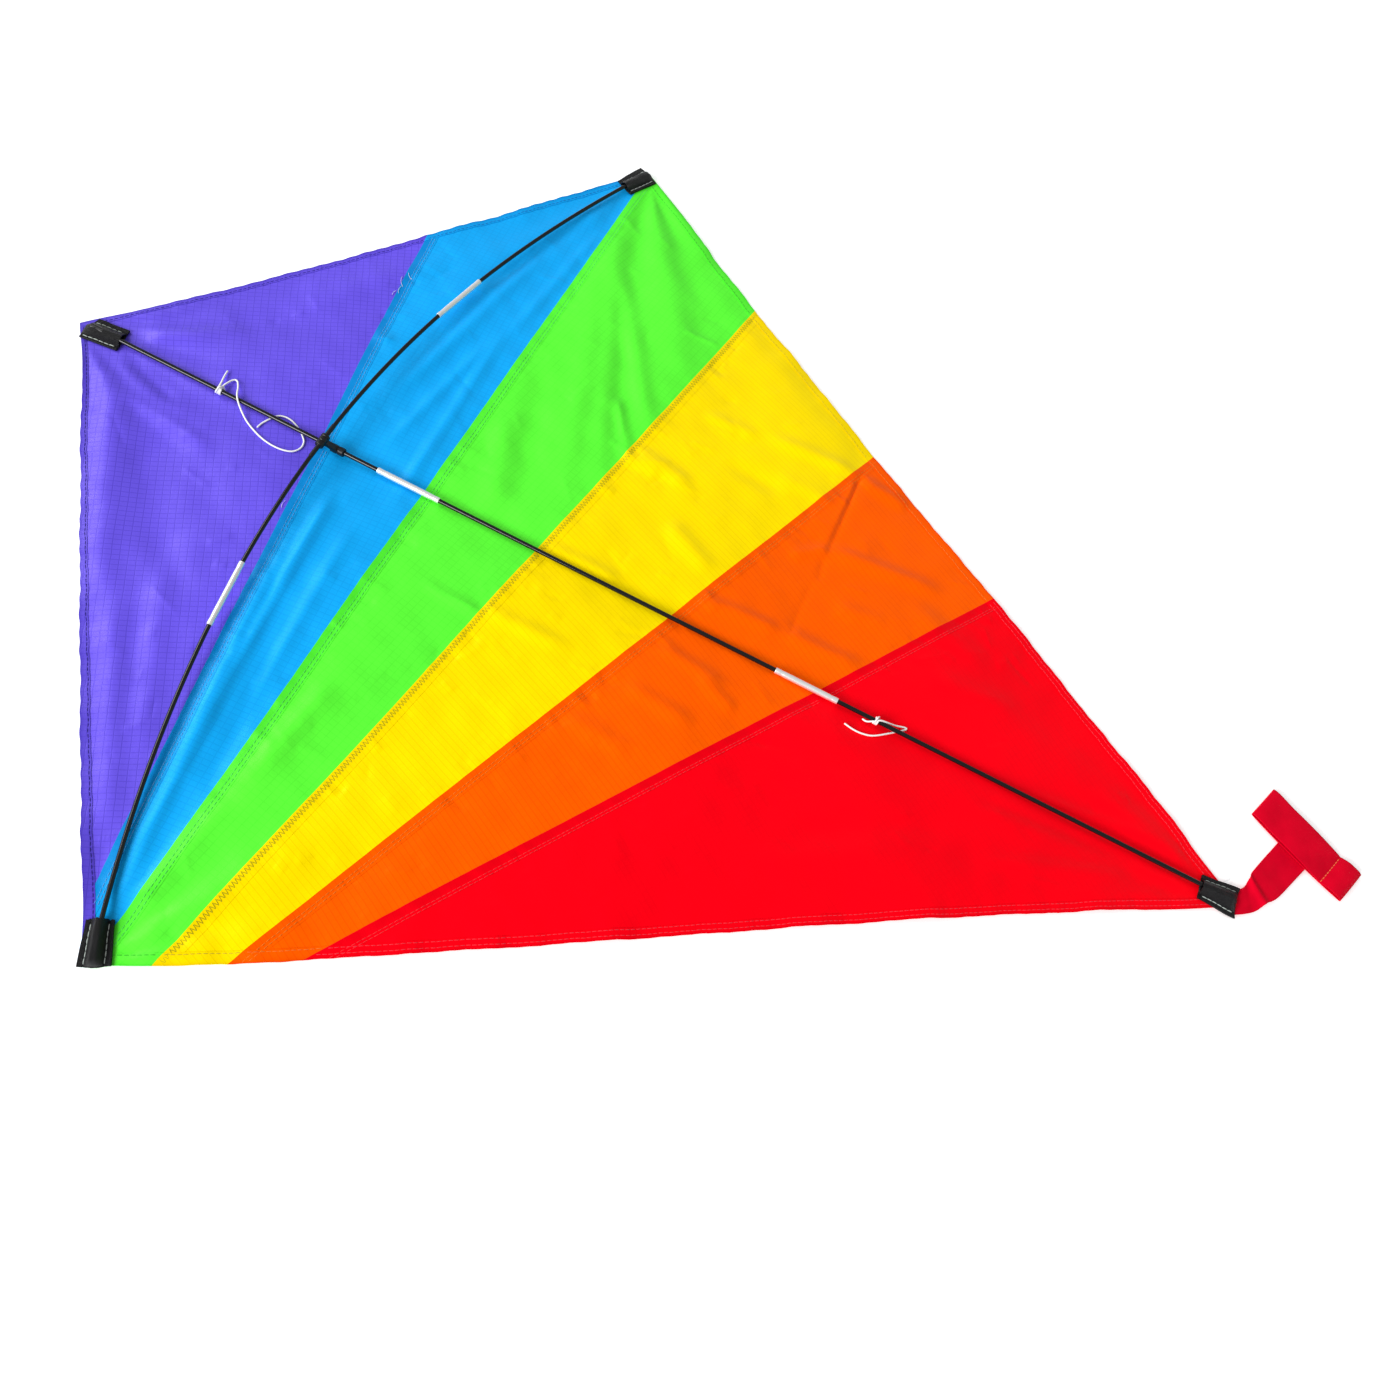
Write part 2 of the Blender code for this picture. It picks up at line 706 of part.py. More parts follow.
def make_ribbon_loop():
    """Make the flattened loop at the ribbon's end, with its line of stitching."""
    turn = Matrix.Rotation(-LOOP_TILT, 4, "Z")
    base = RIBBON_Z + RIBBON_THICKNESS / 2 + LOOP_GAP
    centre = (LOOP_CENTRE_X, NOSE_Y - LOOP_CENTRE_DROP, base + LOOP_THICKNESS / 2)
    place = Matrix.Translation(centre) @ turn
    name = "tail_ribbon_loop"
    loop = add_part(name, box_mesh(name, (LOOP_WIDTH, LOOP_LENGTH, LOOP_THICKNESS)), "red_ribbon")
    loop.matrix_world = place
    bevel = loop.modifiers.new("rounded_folds", "BEVEL")
    bevel.width = 0.6 * MM
    bevel.segments = 2
    name = "tail_ribbon_stitch"
    mesh = cylinder_mesh(name, STITCH_RADIUS, LOOP_WIDTH - 2 * STITCH_MARGIN)
    stitch = add_part(name, mesh, "orange_thread")
    height = LOOP_THICKNESS / 2 + 0.3 * MM + STITCH_RADIUS
    along = Matrix.Translation((0.0, -LOOP_LENGTH / 2 + LOOP_STITCH_INSET, height))
    stitch.matrix_world = place @ along @ Matrix.Rotation(math.pi / 2, 4, "Y")


make_sail()
make_rods()
make_ferrules()
make_cross_fitting()
make_corners()
make_bridle()
make_ribbon()
make_ribbon_loop()
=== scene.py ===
"""Looks for the diamond kite: cloth, thread, rods, fitting, webbing, string and ribbon.

The sail is one sheet, sewn from six bands. Its height comes from one function, so
panels, laps, hems and stitches all follow the same folds. The nose is at +Y, the wings
spread along X, and the back of the sail faces +Z. All sizes are in metres.
"""

import json
import math
from collections import namedtuple

import bmesh
import bpy
import numpy as np
from mathutils import Matrix, Vector

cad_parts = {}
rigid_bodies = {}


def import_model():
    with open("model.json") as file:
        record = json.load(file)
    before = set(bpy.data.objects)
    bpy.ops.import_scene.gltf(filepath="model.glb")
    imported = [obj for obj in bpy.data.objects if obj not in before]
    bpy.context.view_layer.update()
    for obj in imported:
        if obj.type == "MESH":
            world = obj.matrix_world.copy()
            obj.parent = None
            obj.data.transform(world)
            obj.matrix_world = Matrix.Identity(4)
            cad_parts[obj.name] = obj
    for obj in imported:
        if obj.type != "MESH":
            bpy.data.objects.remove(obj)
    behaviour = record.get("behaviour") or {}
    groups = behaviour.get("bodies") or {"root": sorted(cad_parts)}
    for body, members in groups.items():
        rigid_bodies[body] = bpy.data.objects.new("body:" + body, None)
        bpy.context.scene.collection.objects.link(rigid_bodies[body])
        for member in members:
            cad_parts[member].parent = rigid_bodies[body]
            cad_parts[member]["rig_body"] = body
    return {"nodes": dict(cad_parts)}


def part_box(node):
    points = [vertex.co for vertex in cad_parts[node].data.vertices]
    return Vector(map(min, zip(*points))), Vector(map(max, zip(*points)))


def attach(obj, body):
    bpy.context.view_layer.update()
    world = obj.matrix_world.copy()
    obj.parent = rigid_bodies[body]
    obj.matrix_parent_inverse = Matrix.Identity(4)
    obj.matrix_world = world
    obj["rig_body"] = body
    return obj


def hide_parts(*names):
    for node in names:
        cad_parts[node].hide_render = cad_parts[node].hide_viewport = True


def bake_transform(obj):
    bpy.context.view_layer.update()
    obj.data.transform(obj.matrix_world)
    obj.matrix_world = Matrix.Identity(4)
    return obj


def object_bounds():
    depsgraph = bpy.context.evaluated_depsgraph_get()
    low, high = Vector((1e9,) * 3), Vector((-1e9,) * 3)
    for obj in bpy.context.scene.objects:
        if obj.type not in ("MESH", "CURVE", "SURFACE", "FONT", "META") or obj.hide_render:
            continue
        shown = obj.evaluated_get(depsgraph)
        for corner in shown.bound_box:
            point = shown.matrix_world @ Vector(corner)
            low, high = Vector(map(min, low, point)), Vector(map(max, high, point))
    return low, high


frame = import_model()
cad_low, cad_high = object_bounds()

MM = 0.001
RANDOM = np.random.default_rng(11)

# The sail's outline. A drop is a distance from the nose towards the tail.
SPINE_LENGTH = 0.900
HALF_SPAN = 0.369
TIP_DROP = 0.266
NOSE_Y = 0.4874
TAIL_Y = NOSE_Y - SPINE_LENGTH
TIP_Y = NOSE_Y - TIP_DROP
COLOURS = ("violet", "blue", "green", "yellow", "orange", "red")
SEAM_DROPS = (0.186, 0.2665, 0.355, 0.4585, 0.5725)
SEAM_SLOPES = tuple(math.radians(turn) for turn in (9.8, 0.0, -9.4, -21.0, -33.5))
SIDES = ((-1, "left"), (1, "right"))


def middle_z(node):
    """Return the height of the middle of a CAD node's box."""
    low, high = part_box(node)
    return (low.z + high.z) / 2


# Cloth layers, and the height of the sail's middle above the floor.
CELL = 1.7 * MM
CLOTH = 0.16 * MM
SAIL_Z = middle_z("yellow_panel_left")
LAP_WIDTH = 8.6 * MM
LAP_LIFT = 0.17 * MM
HEM_LIFT = 0.33 * MM
# The width of each hem where its edge starts and where it ends.
HEM_WIDTHS = {
    ("leading", -1): (3.4 * MM, 6.6 * MM),
    ("leading", 1): (4.6 * MM, 5.0 * MM),
    ("trailing", -1): (7.2 * MM, 7.2 * MM),
    ("trailing", 1): (7.2 * MM, 7.2 * MM),
}

# Rods. The spreader is bent to an arc.
SPINE_RADIUS = 1.62 * MM
SPREADER_RADIUS = 1.42 * MM
SPINE_Z = middle_z("spine_nose_rod")
SPREADER_RISE = 10.0 * MM
SPREADER_END_X = 0.360
SPREADER_MIDDLE_DROP = 0.193
SAGITTA = TIP_DROP - SPREADER_MIDDLE_DROP
BOW_RADIUS = (SPREADER_END_X**2 + SAGITTA**2) / (2 * SAGITTA)
ROD_END_GAP = 0.4 * MM
BORE_CLEARANCE = 0.2 * MM

# Webbing pockets.
POCKET_BASE_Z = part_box("nose_pocket")[0].z
POCKET_LENGTH = 27.0 * MM
POCKET_HALF_WIDTH = 9.0 * MM
POCKET_INSET = 3.5 * MM
ROD_INSET = 9.5 * MM

STRING_RADIUS = 0.62 * MM
THREAD_RADIUS = 0.19 * MM


# Small helpers.


def smoothstep(t):
    """Return 0 below 0, 1 above 1, and a smooth rise between."""
    t = np.clip(t, 0.0, 1.0)
    return t * t * (3.0 - 2.0 * t)


def hill(distance, width):
    """Return a rounded hill, 1 in its middle."""
    return np.exp(-((distance / width) ** 2))


def wave(along, length, phase=0.0):
    """Return a sine wave along a distance."""
    return np.sin(2 * np.pi * along / length + phase)


def between(start, end, share):
    """Return the value at a share of the way from a start to an end."""
    return start + (end - start) * share


def line_up(*values):
    """Return the values as arrays of one shape."""
    return np.broadcast_arrays(*[np.asarray(value, float) for value in values])


def distances(path):
    """Return each point's distance along a path."""
    steps = np.linalg.norm(np.diff(path, axis=0), axis=1)
    return np.concatenate(((0.0,), np.cumsum(steps)))


def new_object(name, mesh):
    """Return a new object in the scene."""
    obj = bpy.data.objects.new(name, mesh)
    bpy.context.scene.collection.objects.link(obj)
    return obj


def from_shape(name, shape):
    """Return a new object made from a bmesh, which is freed."""
    mesh = bpy.data.meshes.new(name)
    shape.to_mesh(mesh)
    shape.free()
    return new_object(name, mesh)


def thicken(sheet, thickness):
    """Give a sheet its thickness, half to each side."""
    solid = sheet.modifiers.new("thickness", "SOLIDIFY")
    solid.thickness = thickness
    solid.offset = 0.0


def stand_for(piece, node, body=None):
    """Hide a CAD node and show a piece in its place, on a body if one is given."""
    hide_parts(node)
    if body is not None:
        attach(piece, body)


def bend_with_wing(piece):
    """Put a piece's placement into its mesh."""
    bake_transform(piece)


# The cloth's shape: the waviness of its outer edges, and its height.


def outer_edge(start, end):
    """Return the right half's edge between two corners: start, direction and length."""
    reach = np.subtract(end, start)
    length = float(np.hypot(*reach))
    return start, reach / length, length


EDGES = {
    "leading": outer_edge((0.0, NOSE_Y), (HALF_SPAN, TIP_Y)),
    "trailing": outer_edge((HALF_SPAN, TIP_Y), (0.0, TAIL_Y)),
}
# Each outer edge's own curve: heights of the first two sine terms, outward.
EDGE_CURVES = {
    ("leading", -1): (2.2 * MM, 0.0),
    ("leading", 1): (-3.2 * MM, 0.0),
    ("trailing", -1): (-1.8 * MM, 1.8 * MM),
    ("trailing", 1): (-1.0 * MM, -2.6 * MM),
}
EDGE_GATHERS = {"leading": 0.22 * MM, "trailing": 0.12 * MM}
# How far the hand-sewn corners sit off the straight outline: place, reach and move.
CORNER_PULLS = (
    ((0.0, NOSE_Y), 0.022, (0.0, 2.6 * MM)),
    ((-HALF_SPAN, TIP_Y), 0.030, (1.6 * MM, 3.0 * MM)),
)


def edge_place(name, x, y):
    """Return the distance in from an outer edge, and the distance along it."""
    start, unit, _ = EDGES[name]
    across = np.abs(x) - start[0]
    up = y - start[1]
    return across * unit[1] - up * unit[0], across * unit[0] + up * unit[1]


def gathers(along):
    """Return the small uneven puckers that stitching pulls into an edge."""
    return wave(along, 0.0127, 1.4 * np.sin(along / 0.031))


def edge_shift(x, y):
    """Return how far the cloth sits off the straight outline, in x and y."""
    side = np.where(x < 0, -1, 1)
    shift_x = np.zeros_like(x)
    shift_y = np.zeros_like(x)
    for name, (_, unit, length) in EDGES.items():
        inward, along = edge_place(name, x, y)
        phase = np.pi * along / length
        left, right = EDGE_CURVES[name, -1], EDGE_CURVES[name, 1]
        curve = np.where(side < 0, left[0], right[0]) * np.sin(phase)
        curve = curve + np.where(side < 0, left[1], right[1]) * np.sin(2 * phase)
        ripple = 0.26 * MM * wave(along, 0.071, side) + 0.12 * MM * wave(along, 0.0295, 2.3 * side)
        ripple = ripple + EDGE_GATHERS[name] * gathers(along)
        calm = smoothstep((along - 0.03) / 0.05) * smoothstep((length - 0.03 - along) / 0.05)
        inward = np.maximum(inward, 0.0)
        out = (curve * np.exp(-inward / 0.060) + ripple * np.exp(-inward / 0.012)) * calm
        out = out * smoothstep(np.abs(x) / 0.02)
        shift_x = shift_x - out * unit[1] * side
        shift_y = shift_y + out * unit[0]
    for corner, reach, move in CORNER_PULLS:
        pull = hill(np.hypot(x - corner[0], y - corner[1]), reach)
        shift_x = shift_x + move[0] * pull
        shift_y = shift_y + move[1] * pull
    return shift_x, shift_y


def make_waves(count, shortest, longest):
    """Return seeded plane waves as (wave number x, wave number y, phase)."""
    lengths = RANDOM.uniform(shortest, longest, count)
    angles = RANDOM.uniform(0.0, np.pi, count)
    phases = RANDOM.uniform(0.0, 2 * np.pi, count)
    numbers = 2 * np.pi / lengths
    return list(zip(numbers * np.cos(angles), numbers * np.sin(angles), phases))


# The unevenness of the cloth: rise, and waves of that rise.
UNEVENNESS = (
    (0.34 * MM, make_waves(12, 0.09, 0.26)),
    (0.05 * MM, make_waves(14, 0.022, 0.05)),
)

# Folds pulled into the cloth: x and drop of both ends, rise and half width, all in mm.
FOLDS = (
    (300, 273, 78, 366, 2.4, 9.5), (288, 281, 92, 374, -1.1, 9.0),
    (293, 270, 60, 346, 2.2, 11.0), (268, 275, 170, 322, -1.2, 8.0),
    (270, 288, 128, 384, 2.4, 7.5), (150, 285, 36, 326, -1.4, 10.0),
    (95, 282, 10, 317, 1.9, 10.0), (320, 300, 190, 384, 1.3, 13.0),
    (148, 346, 104, 378, 1.8, 5.0), (-150, 290, -232, 282, 1.6, 7.0),
    (-60, 300, -62, 348, 1.3, 5.0), (-352, 269, -318, 301, -1.0, 4.0),
    (-250, 279, -335, 268, 1.4, 6.0), (-120, 330, -230, 300, -0.9, 12.0),
    (159, 247, -14, 254, 1.7, 5.0), (-95, 208, -225, 239, 1.8, 7.0),
    (-30, 217, -120, 225, 1.8, 6.0), (297, 247, 182, 212, -2.0, 8.0),
    (60, 205, 170, 228, 1.5, 8.0), (-150, 250, -250, 262, -1.4, 7.0),
    (-24, 214, -176, 236, 1.5, 4.0), (-60, 208, -262, 243, 1.6, 4.5),
    (-110, 224, -318, 255, 1.5, 4.0), (-44, 241, -204, 257, 1.4, 5.0),
    (24, 226, 142, 242, 1.4, 4.5), (62, 210, 252, 236, 1.5, 5.0),
    (150, 251, 296, 262, 1.4, 5.0), (-34, 52, -42, 131, 1.7, 6.0),
    (-9, 37, -22, 90, -1.6, 5.0), (8, 38, 58, 94, 1.7, 6.0),
    (30, 40, 120, 95, -1.4, 8.0), (-16, 34, -186, 146, 2.8, 11.0),
    (-150, 133, -308, 240, 2.6, 9.0), (-50, 80, -150, 175, -2.0, 13.0),
    (-120, 150, -260, 225, 1.8, 9.0), (90, 110, 190, 170, 1.8, 13.0),
    (112, 538, 122, 628, 2.6, 6.5), (92, 514, 113, 540, 1.8, 5.0),
    (25, 472, 31, 534, 2.6, 5.5), (31, 532, 34, 596, 2.4, 6.5),
    (-22, 462, -29, 515, 2.1, 5.5), (-60, 455, -65, 508, 1.9, 6.0),
    (183, 538, 180, 580, 2.2, 6.0), (-31, 496, -42, 530, 1.9, 5.0),
    (-100, 430, -104, 480, 1.9, 7.0), (150, 480, 152, 530, 1.3, 7.0),
    (70, 560, 76, 600, 1.4, 7.0), (179, 462, 187, 534, 2.2, 6.0),
    (172, 408, 175, 455, 1.6, 6.0), (114, 376, 108, 428, 2.1, 6.5),
    (70, 425, 49, 469, 1.8, 7.0), (8, 358, 9, 418, 1.9, 6.0),
    (-58, 346, -55, 412, 1.9, 6.0), (105, 372, 104, 404, 1.4, 5.0),
    (140, 440, 138, 490, -1.0, 7.0), (-17, 700, -6, 822, -1.2, 6.0),
    (6, 740, 16, 838, 1.6, 5.0), (-136, 575, -83, 672, 1.8, 11.0),
    (52, 642, 59, 712, 1.6, 9.0), (-60, 720, -16, 830, 1.8, 7.0),
    (-100, 600, -40, 700, -1.1, 10.0), (100, 610, 80, 680, 1.4, 9.0),
)
# Sharp creases left by packing, in the same terms.
SHARP_CREASES = (
    (194, 537, 104, 539, -1.9, 2.2), (190, 533, 108, 535, 1.2, 3.0),
    (104, 538, 84, 542, -1.3, 2.0), (84, 538, 24, 540, -0.8, 2.0),
    (234, 361, 239, 393, 1.2, 2.0), (-63, 308, -60, 348, 1.0, 2.0),
    (112, 358, 108, 380, 1.2, 2.4), (148, 347, 118, 366, 1.0, 2.2),
    (8, 362, 9, 415, 0.9, 2.2),
)
CRINKLES = 300
SEAM_PUCKERS = (10, 14, 22, 44, 12)


def random_rise(low, high):
    """Return a seeded rise, up or down."""
    return RANDOM.choice((-1.0, 1.0)) * RANDOM.uniform(low, high)


def make_crinkles():
    """Return small seeded creases, spread over the sail, in the same terms."""
    found = []
    while len(found) < CRINKLES:
        x = RANDOM.uniform(-HALF_SPAN, HALF_SPAN)
        y = RANDOM.uniform(TAIL_Y, NOSE_Y)
        inward = min(edge_place(name, x, y)[0] for name in EDGES)
        size = RANDOM.uniform(7.0, 28.0)
        turn = RANDOM.normal(math.radians(80), 0.6)
        rise = random_rise(0.15, 0.6)
        width = RANDOM.uniform(1.7, 3.0)
        if inward > 0.012 and abs(x) > 0.016:
            x = x / MM
            drop = (NOSE_Y - y) / MM
            dx = size * math.cos(turn) / 2
            dy = size * math.sin(turn) / 2
            found.append((x - dx, drop - dy, x + dx, drop + dy, rise, width))
    return found


def make_puckers():
    """Return the short creases that the stitching gathers below each seam."""
    found = []
    for count, drop, slope in zip(SEAM_PUCKERS, SEAM_DROPS, SEAM_SLOPES):
        for _ in range(count):
            x = RANDOM.uniform(-250.0, 250.0)
            size = RANDOM.uniform(7.0, 20.0)
            way = slope + RANDOM.normal(0.0, 0.22)
            rise = random_rise(0.35, 0.9)
            width = RANDOM.uniform(1.8, 3.2)
            top = drop / MM - x * math.tan(slope) + 1.0
            end_x = x + size * math.sin(way)
            found.append((x, top, end_x, top + size * math.cos(way), rise, width))
    return found


# Every crease, and whether it is sharp.
CREASES = [(crease, False) for crease in FOLDS] + [(crease, True) for crease in SHARP_CREASES]
CREASES += [(crease, True) for crease in make_crinkles() + make_puckers()]


def add_crease(height, x, y, crease, sharp):
    """Add one crease to the heights of the points that it reaches."""
    x0, drop0, x1, drop1, rise, width = [value * MM for value in crease]
    start = np.array((x0, NOSE_Y - drop0))
    end = np.array((x1, NOSE_Y - drop1))
    length = float(np.hypot(*(end - start)))
    unit = (end - start) / length
    low = np.minimum(start, end) - 4 * width
    high = np.maximum(start, end) + 4 * width
    near = (x > low[0]) & (x < high[0]) & (y > low[1]) & (y < high[1])
    dx = x[near] - start[0]
    dy = y[near] - start[1]
    along = (dx * unit[0] + dy * unit[1]) / length
    across = np.abs(dy * unit[0] - dx * unit[1]) / width
    profile = np.exp(-across) * smoothstep((4 - across) / 2) if sharp else hill(across, 1.0)
    fade = smoothstep(along / 0.3 + 0.2) * smoothstep((1 - along) / 0.3 + 0.2)
    height[near] += rise * profile * fade


def seam_offset(index, x, y):
    """Return how far a point lies towards the tail from a seam."""
    slope = SEAM_SLOPES[index]
    return (NOSE_Y - SEAM_DROPS[index] + x * math.tan(slope) - y) * math.cos(slope)


# Radial folds where a corner holds the cloth: corner, reach, rise, folds and phase.
FANS = (
    ((0.0, NOSE_Y), 0.060, 0.8 * MM, 17, 0.4),
    ((HALF_SPAN, TIP_Y), 0.090, 1.1 * MM, 15, 1.0),
    ((-HALF_SPAN, TIP_Y), 0.070, 0.9 * MM, 16, 2.1),
    ((0.0, TAIL_Y), 0.090, 0.7 * MM, 19, 0.0),
)


def fan(x, y, corner, reach, rise, folds, phase):
    """Return radial folds that run out from a corner where the cloth is held."""
    dx = x - corner[0]
    dy = y - corner[1]
    share = np.hypot(dx, dy) / reach
    return rise * share * np.exp(1.0 - share) * np.cos(folds * np.arctan2(dy, dx) + phase)


def spreader_line(x):
    """Return the y of the spreader's arc over the sail at x."""
    return NOSE_Y - SPREADER_MIDDLE_DROP - BOW_RADIUS + np.sqrt(BOW_RADIUS**2 - x**2)


def spreader_point(x):
    """Return the point of the bent spreader at x: an arc that also dips to its ends."""
    lift = math.cos(math.pi / 2 * x / SPREADER_END_X) ** 2
    return Vector((x, spreader_line(x), SPINE_Z + SPREADER_RISE * lift))


def pocket_frames():
    """Return each corner's name, closed end and inward direction."""
    corners = [
        ("nose", Vector((0.0, NOSE_Y - POCKET_INSET)), Vector((0.0, -1.0))),
        ("tail", Vector((0.0, TAIL_Y + POCKET_INSET)), Vector((0.0, 1.0))),
    ]
    for side, name in SIDES:
        end = spreader_point(side * SPREADER_END_X)
        inward = (spreader_point(side * (SPREADER_END_X - POCKET_LENGTH)) - end).normalized()
        closed = end - inward * (ROD_INSET - POCKET_INSET)
        corners.append((f"{name}_tip", closed.xy, inward.xy))
    return corners


def pocket_calm(x, y):
    """Return 1 away from the pockets and 0 under them."""
    calm = np.ones_like(x)
    for _, closed, inward in pocket_frames():
        dx = x - closed.x
        dy = y - closed.y
        along = dx * inward.x + dy * inward.y - POCKET_LENGTH / 2
        across = dx * inward.y - dy * inward.x
        beyond_x = np.maximum(np.abs(along) - POCKET_LENGTH / 2, 0.0)
        beyond_y = np.maximum(np.abs(across) - POCKET_HALF_WIDTH, 0.0)
        calm = calm * smoothstep(np.hypot(beyond_x, beyond_y) / 0.022)
    return calm


# How far the cloth bulges up, and how far it may go down or up before it meets something.
BILLOW = 1.5 * MM
FLOOR_ROOM = 1.5 * MM
BRIDLE_ROOM = 0.95 * MM
OPEN_ROOM = 8.0 * MM
SPINE_ROOM = 1.7 * MM
# The rise of each outer edge's flutter.
FLUTTER = {"leading": 0.40 * MM, "trailing": 0.55 * MM}


def room_above(x, y):
    """Return how far the cloth may rise before it meets a rod."""
    samples = np.linspace(0, HALF_SPAN, 60)
    heights = [spreader_point(min(value, SPREADER_END_X)).z for value in samples]
    under_rod = np.interp(np.abs(x), samples, heights) - SPREADER_RADIUS - SAIL_Z - 1.0 * MM
    rod_gap = np.abs(y - spreader_line(np.abs(x)))
    room = between(under_rod, OPEN_ROOM, smoothstep((rod_gap - 0.004) / 0.02))
    room = between(SPINE_ROOM, room, smoothstep((np.abs(x) - 0.003) / 0.016))
    return np.clip(room, 0.3 * MM, OPEN_ROOM)


def add_edge_folds(height, x, y):
    """Add the flutter of each outer edge and the puckers of its hem."""
    side = np.where(x < 0, -1, 1)
    for name, (_, _, length) in EDGES.items():
        inward, along = edge_place(name, x, y)
        inward = np.maximum(inward, 0)
        flutter = wave(along, 0.067, 1.3 * side) + 0.6 * wave(along, 0.041, 0.6 * side)
        flutter = flutter + 0.3 * wave(along, 0.0235, 2.3 * side)
        ends = smoothstep(along / 0.08) * smoothstep((length - along) / 0.08)
        height += FLUTTER[name] * flutter * np.exp(-inward / 0.022) * ends
        height += 0.12 * MM * gathers(along) * hill(inward - 0.004, 0.006) * ends


def sail_height(x, y):
    """Return the cloth's height above the flat sail."""
    x, y = line_up(x, y)
    shape = x.shape
    x = x.ravel().copy()
    y = y.ravel().copy()
    inward = np.minimum(*[edge_place(name, x, y)[0] for name in EDGES])
    height = BILLOW * smoothstep(inward / 0.03) * smoothstep(np.abs(x) / 0.03)
    for rise, waves in UNEVENNESS:
        for kx, ky, phase in waves:
            height += rise * np.sin(kx * x + ky * y + phase)
    for folds in FANS:
        height += fan(x, y, *folds)
    for crease, sharp in CREASES:
        add_crease(height, x, y, crease, sharp)
    add_edge_folds(height, x, y)
    for index, slope in enumerate(SEAM_SLOPES):
        offset = seam_offset(index, x, y)
        along = x / math.cos(slope)
        pucker = wave(along, 0.0115, 1.7 * np.sin(along / 0.021))
        height += 0.12 * MM * pucker * hill(offset - 0.005, 0.009)
        height -= 0.30 * MM * hill(offset - 0.003, 0.012)
    above = room_above(x, y)
    below = np.where(x > 0, BRIDLE_ROOM, FLOOR_ROOM)
    below = between(FLOOR_ROOM, below, smoothstep(np.abs(x) / 0.02))
    room = np.where(height > 0, above, below)
    return (room * np.tanh(height / room) * pocket_calm(x, y)).reshape(shape)


def on_sail(x, y, lift=0.0):
    """Return points of the cloth: flat places turned to the folded sail's places."""
    x, y, lift = line_up(x, y, lift)
    shift_x, shift_y = edge_shift(x, y)
    z = SAIL_Z + sail_height(x, y) + lift
    return np.stack((x + shift_x, y + shift_y, z), axis=-1)


# Meshes.


class MeshParts:
    """Points, faces, flat places and a number for each point, gathered into one mesh."""

    def __init__(self):
        self.points = []
        self.faces = []
        self.places = []
        self.layers = []
        self.count = 0

    def add(self, points, faces, places, layer=0.0):
        """Add one shell. Its places are the texture coordinates of its points."""
        self.points.append(np.asarray(points, float).reshape(-1, 3))
        self.places.append(np.asarray(places, float).reshape(-1, 2))
        self.layers.append(np.broadcast_to(np.asarray(layer, float), len(self.points[-1])))
        self.faces += [tuple(int(i) + self.count for i in face) for face in faces]
        self.count += len(self.points[-1])

    def build(self, name, material, sharp=50.0, weld=0.0):
        """Return a new object with smooth faces and texture coordinates."""
        mesh = bpy.data.meshes.new(name)
        mesh.from_pydata(np.concatenate(self.points).tolist(), [], self.faces)
        layer = mesh.attributes.new("layer", "FLOAT", "POINT")
        layer.data.foreach_set("value", np.concatenate(self.layers).astype(np.float32))
        corners = np.zeros(len(mesh.loops), int)
        mesh.loops.foreach_get("vertex_index", corners)
        places = np.concatenate(self.places)[corners]
        texture = mesh.uv_layers.new(name="flat")
        texture.data.foreach_set("uv", places.astype(np.float32).ravel())
        if weld > 0:
            shape = bmesh.new()
            shape.from_mesh(mesh)
            bmesh.ops.remove_doubles(shape, verts=shape.verts, dist=weld)
            shape.to_mesh(mesh)
            shape.free()
        mesh.shade_smooth()
        mesh.set_sharp_from_angle(angle=math.radians(sharp))
        mesh.materials.append(material)
        return new_object(name, mesh)


def grid_faces(rows, columns, wrap=False):
    """Return the quads of a grid of points, joined round in its columns if wrapped."""
    faces = []
    for row in range(rows - 1):
        for column in range(columns if wrap else columns - 1):
            a = row * columns + column
            b = row * columns + (column + 1) % columns
            faces.append((a, b, b + columns, a + columns))
    return faces


def tube_faces(rings, sides, closed=False):
    """Return the faces of a tube: joined into a loop if closed, or else capped."""
    faces = grid_faces(rings, sides, wrap=True)
    last = (rings - 1) * sides
    if closed:
        return faces + [(last + i, last + (i + 1) % sides, (i + 1) % sides, i) for i in range(sides)]
    return faces + [tuple(range(sides))[::-1], tuple(range(last, last + sides))]


def circle(sides):
    """Return even angles round a circle."""
    return 2 * np.pi * np.arange(sides) / sides


def clip(points, normal, limit):
    """Return the part of a convex outline where normal . point is at most the limit."""
    kept = []
    for start, end in zip(points, points[1:] + points[:1]):
        start_side = normal[0] * start[0] + normal[1] * start[1] - limit
        end_side = normal[0] * end[0] + normal[1] * end[1] - limit
        if start_side <= 0:
            kept.append(start)
        if start_side * end_side < 0:
            part = start_side / (start_side - end_side)
            kept.append(tuple(between(a, b, part) for a, b in zip(start, end)))
    return kept


def half_sail(side):
    """Return the outline of one half of the sail."""
    return [(0.0, NOSE_Y), (side * HALF_SPAN, TIP_Y), (0.0, TAIL_Y)]


def above_seam(outline, index, offset=0.0):
    """Return the part of an outline above a line, an offset below a seam."""
    slope = SEAM_SLOPES[index]
    normal = (math.sin(slope), -math.cos(slope))
    return clip(outline, normal, normal[1] * (NOSE_Y - SEAM_DROPS[index]) + offset)


def panel_outline(index, side):
    """Return one half panel's outline: side is -1 for the left wing, 1 for the right."""
    outline = half_sail(side)
    if index > 0:
        slope = SEAM_SLOPES[index - 1]
        normal = (-math.sin(slope), math.cos(slope))
        outline = clip(outline, normal, normal[1] * (NOSE_Y - SEAM_DROPS[index - 1]))
    if index < len(SEAM_DROPS):
        outline = above_seam(outline, index)
    return outline


def lap_outline(index, side):
    """Return the double layer of cloth along a panel's upper seam."""
    return above_seam(panel_outline(index, side), index - 1, LAP_WIDTH)


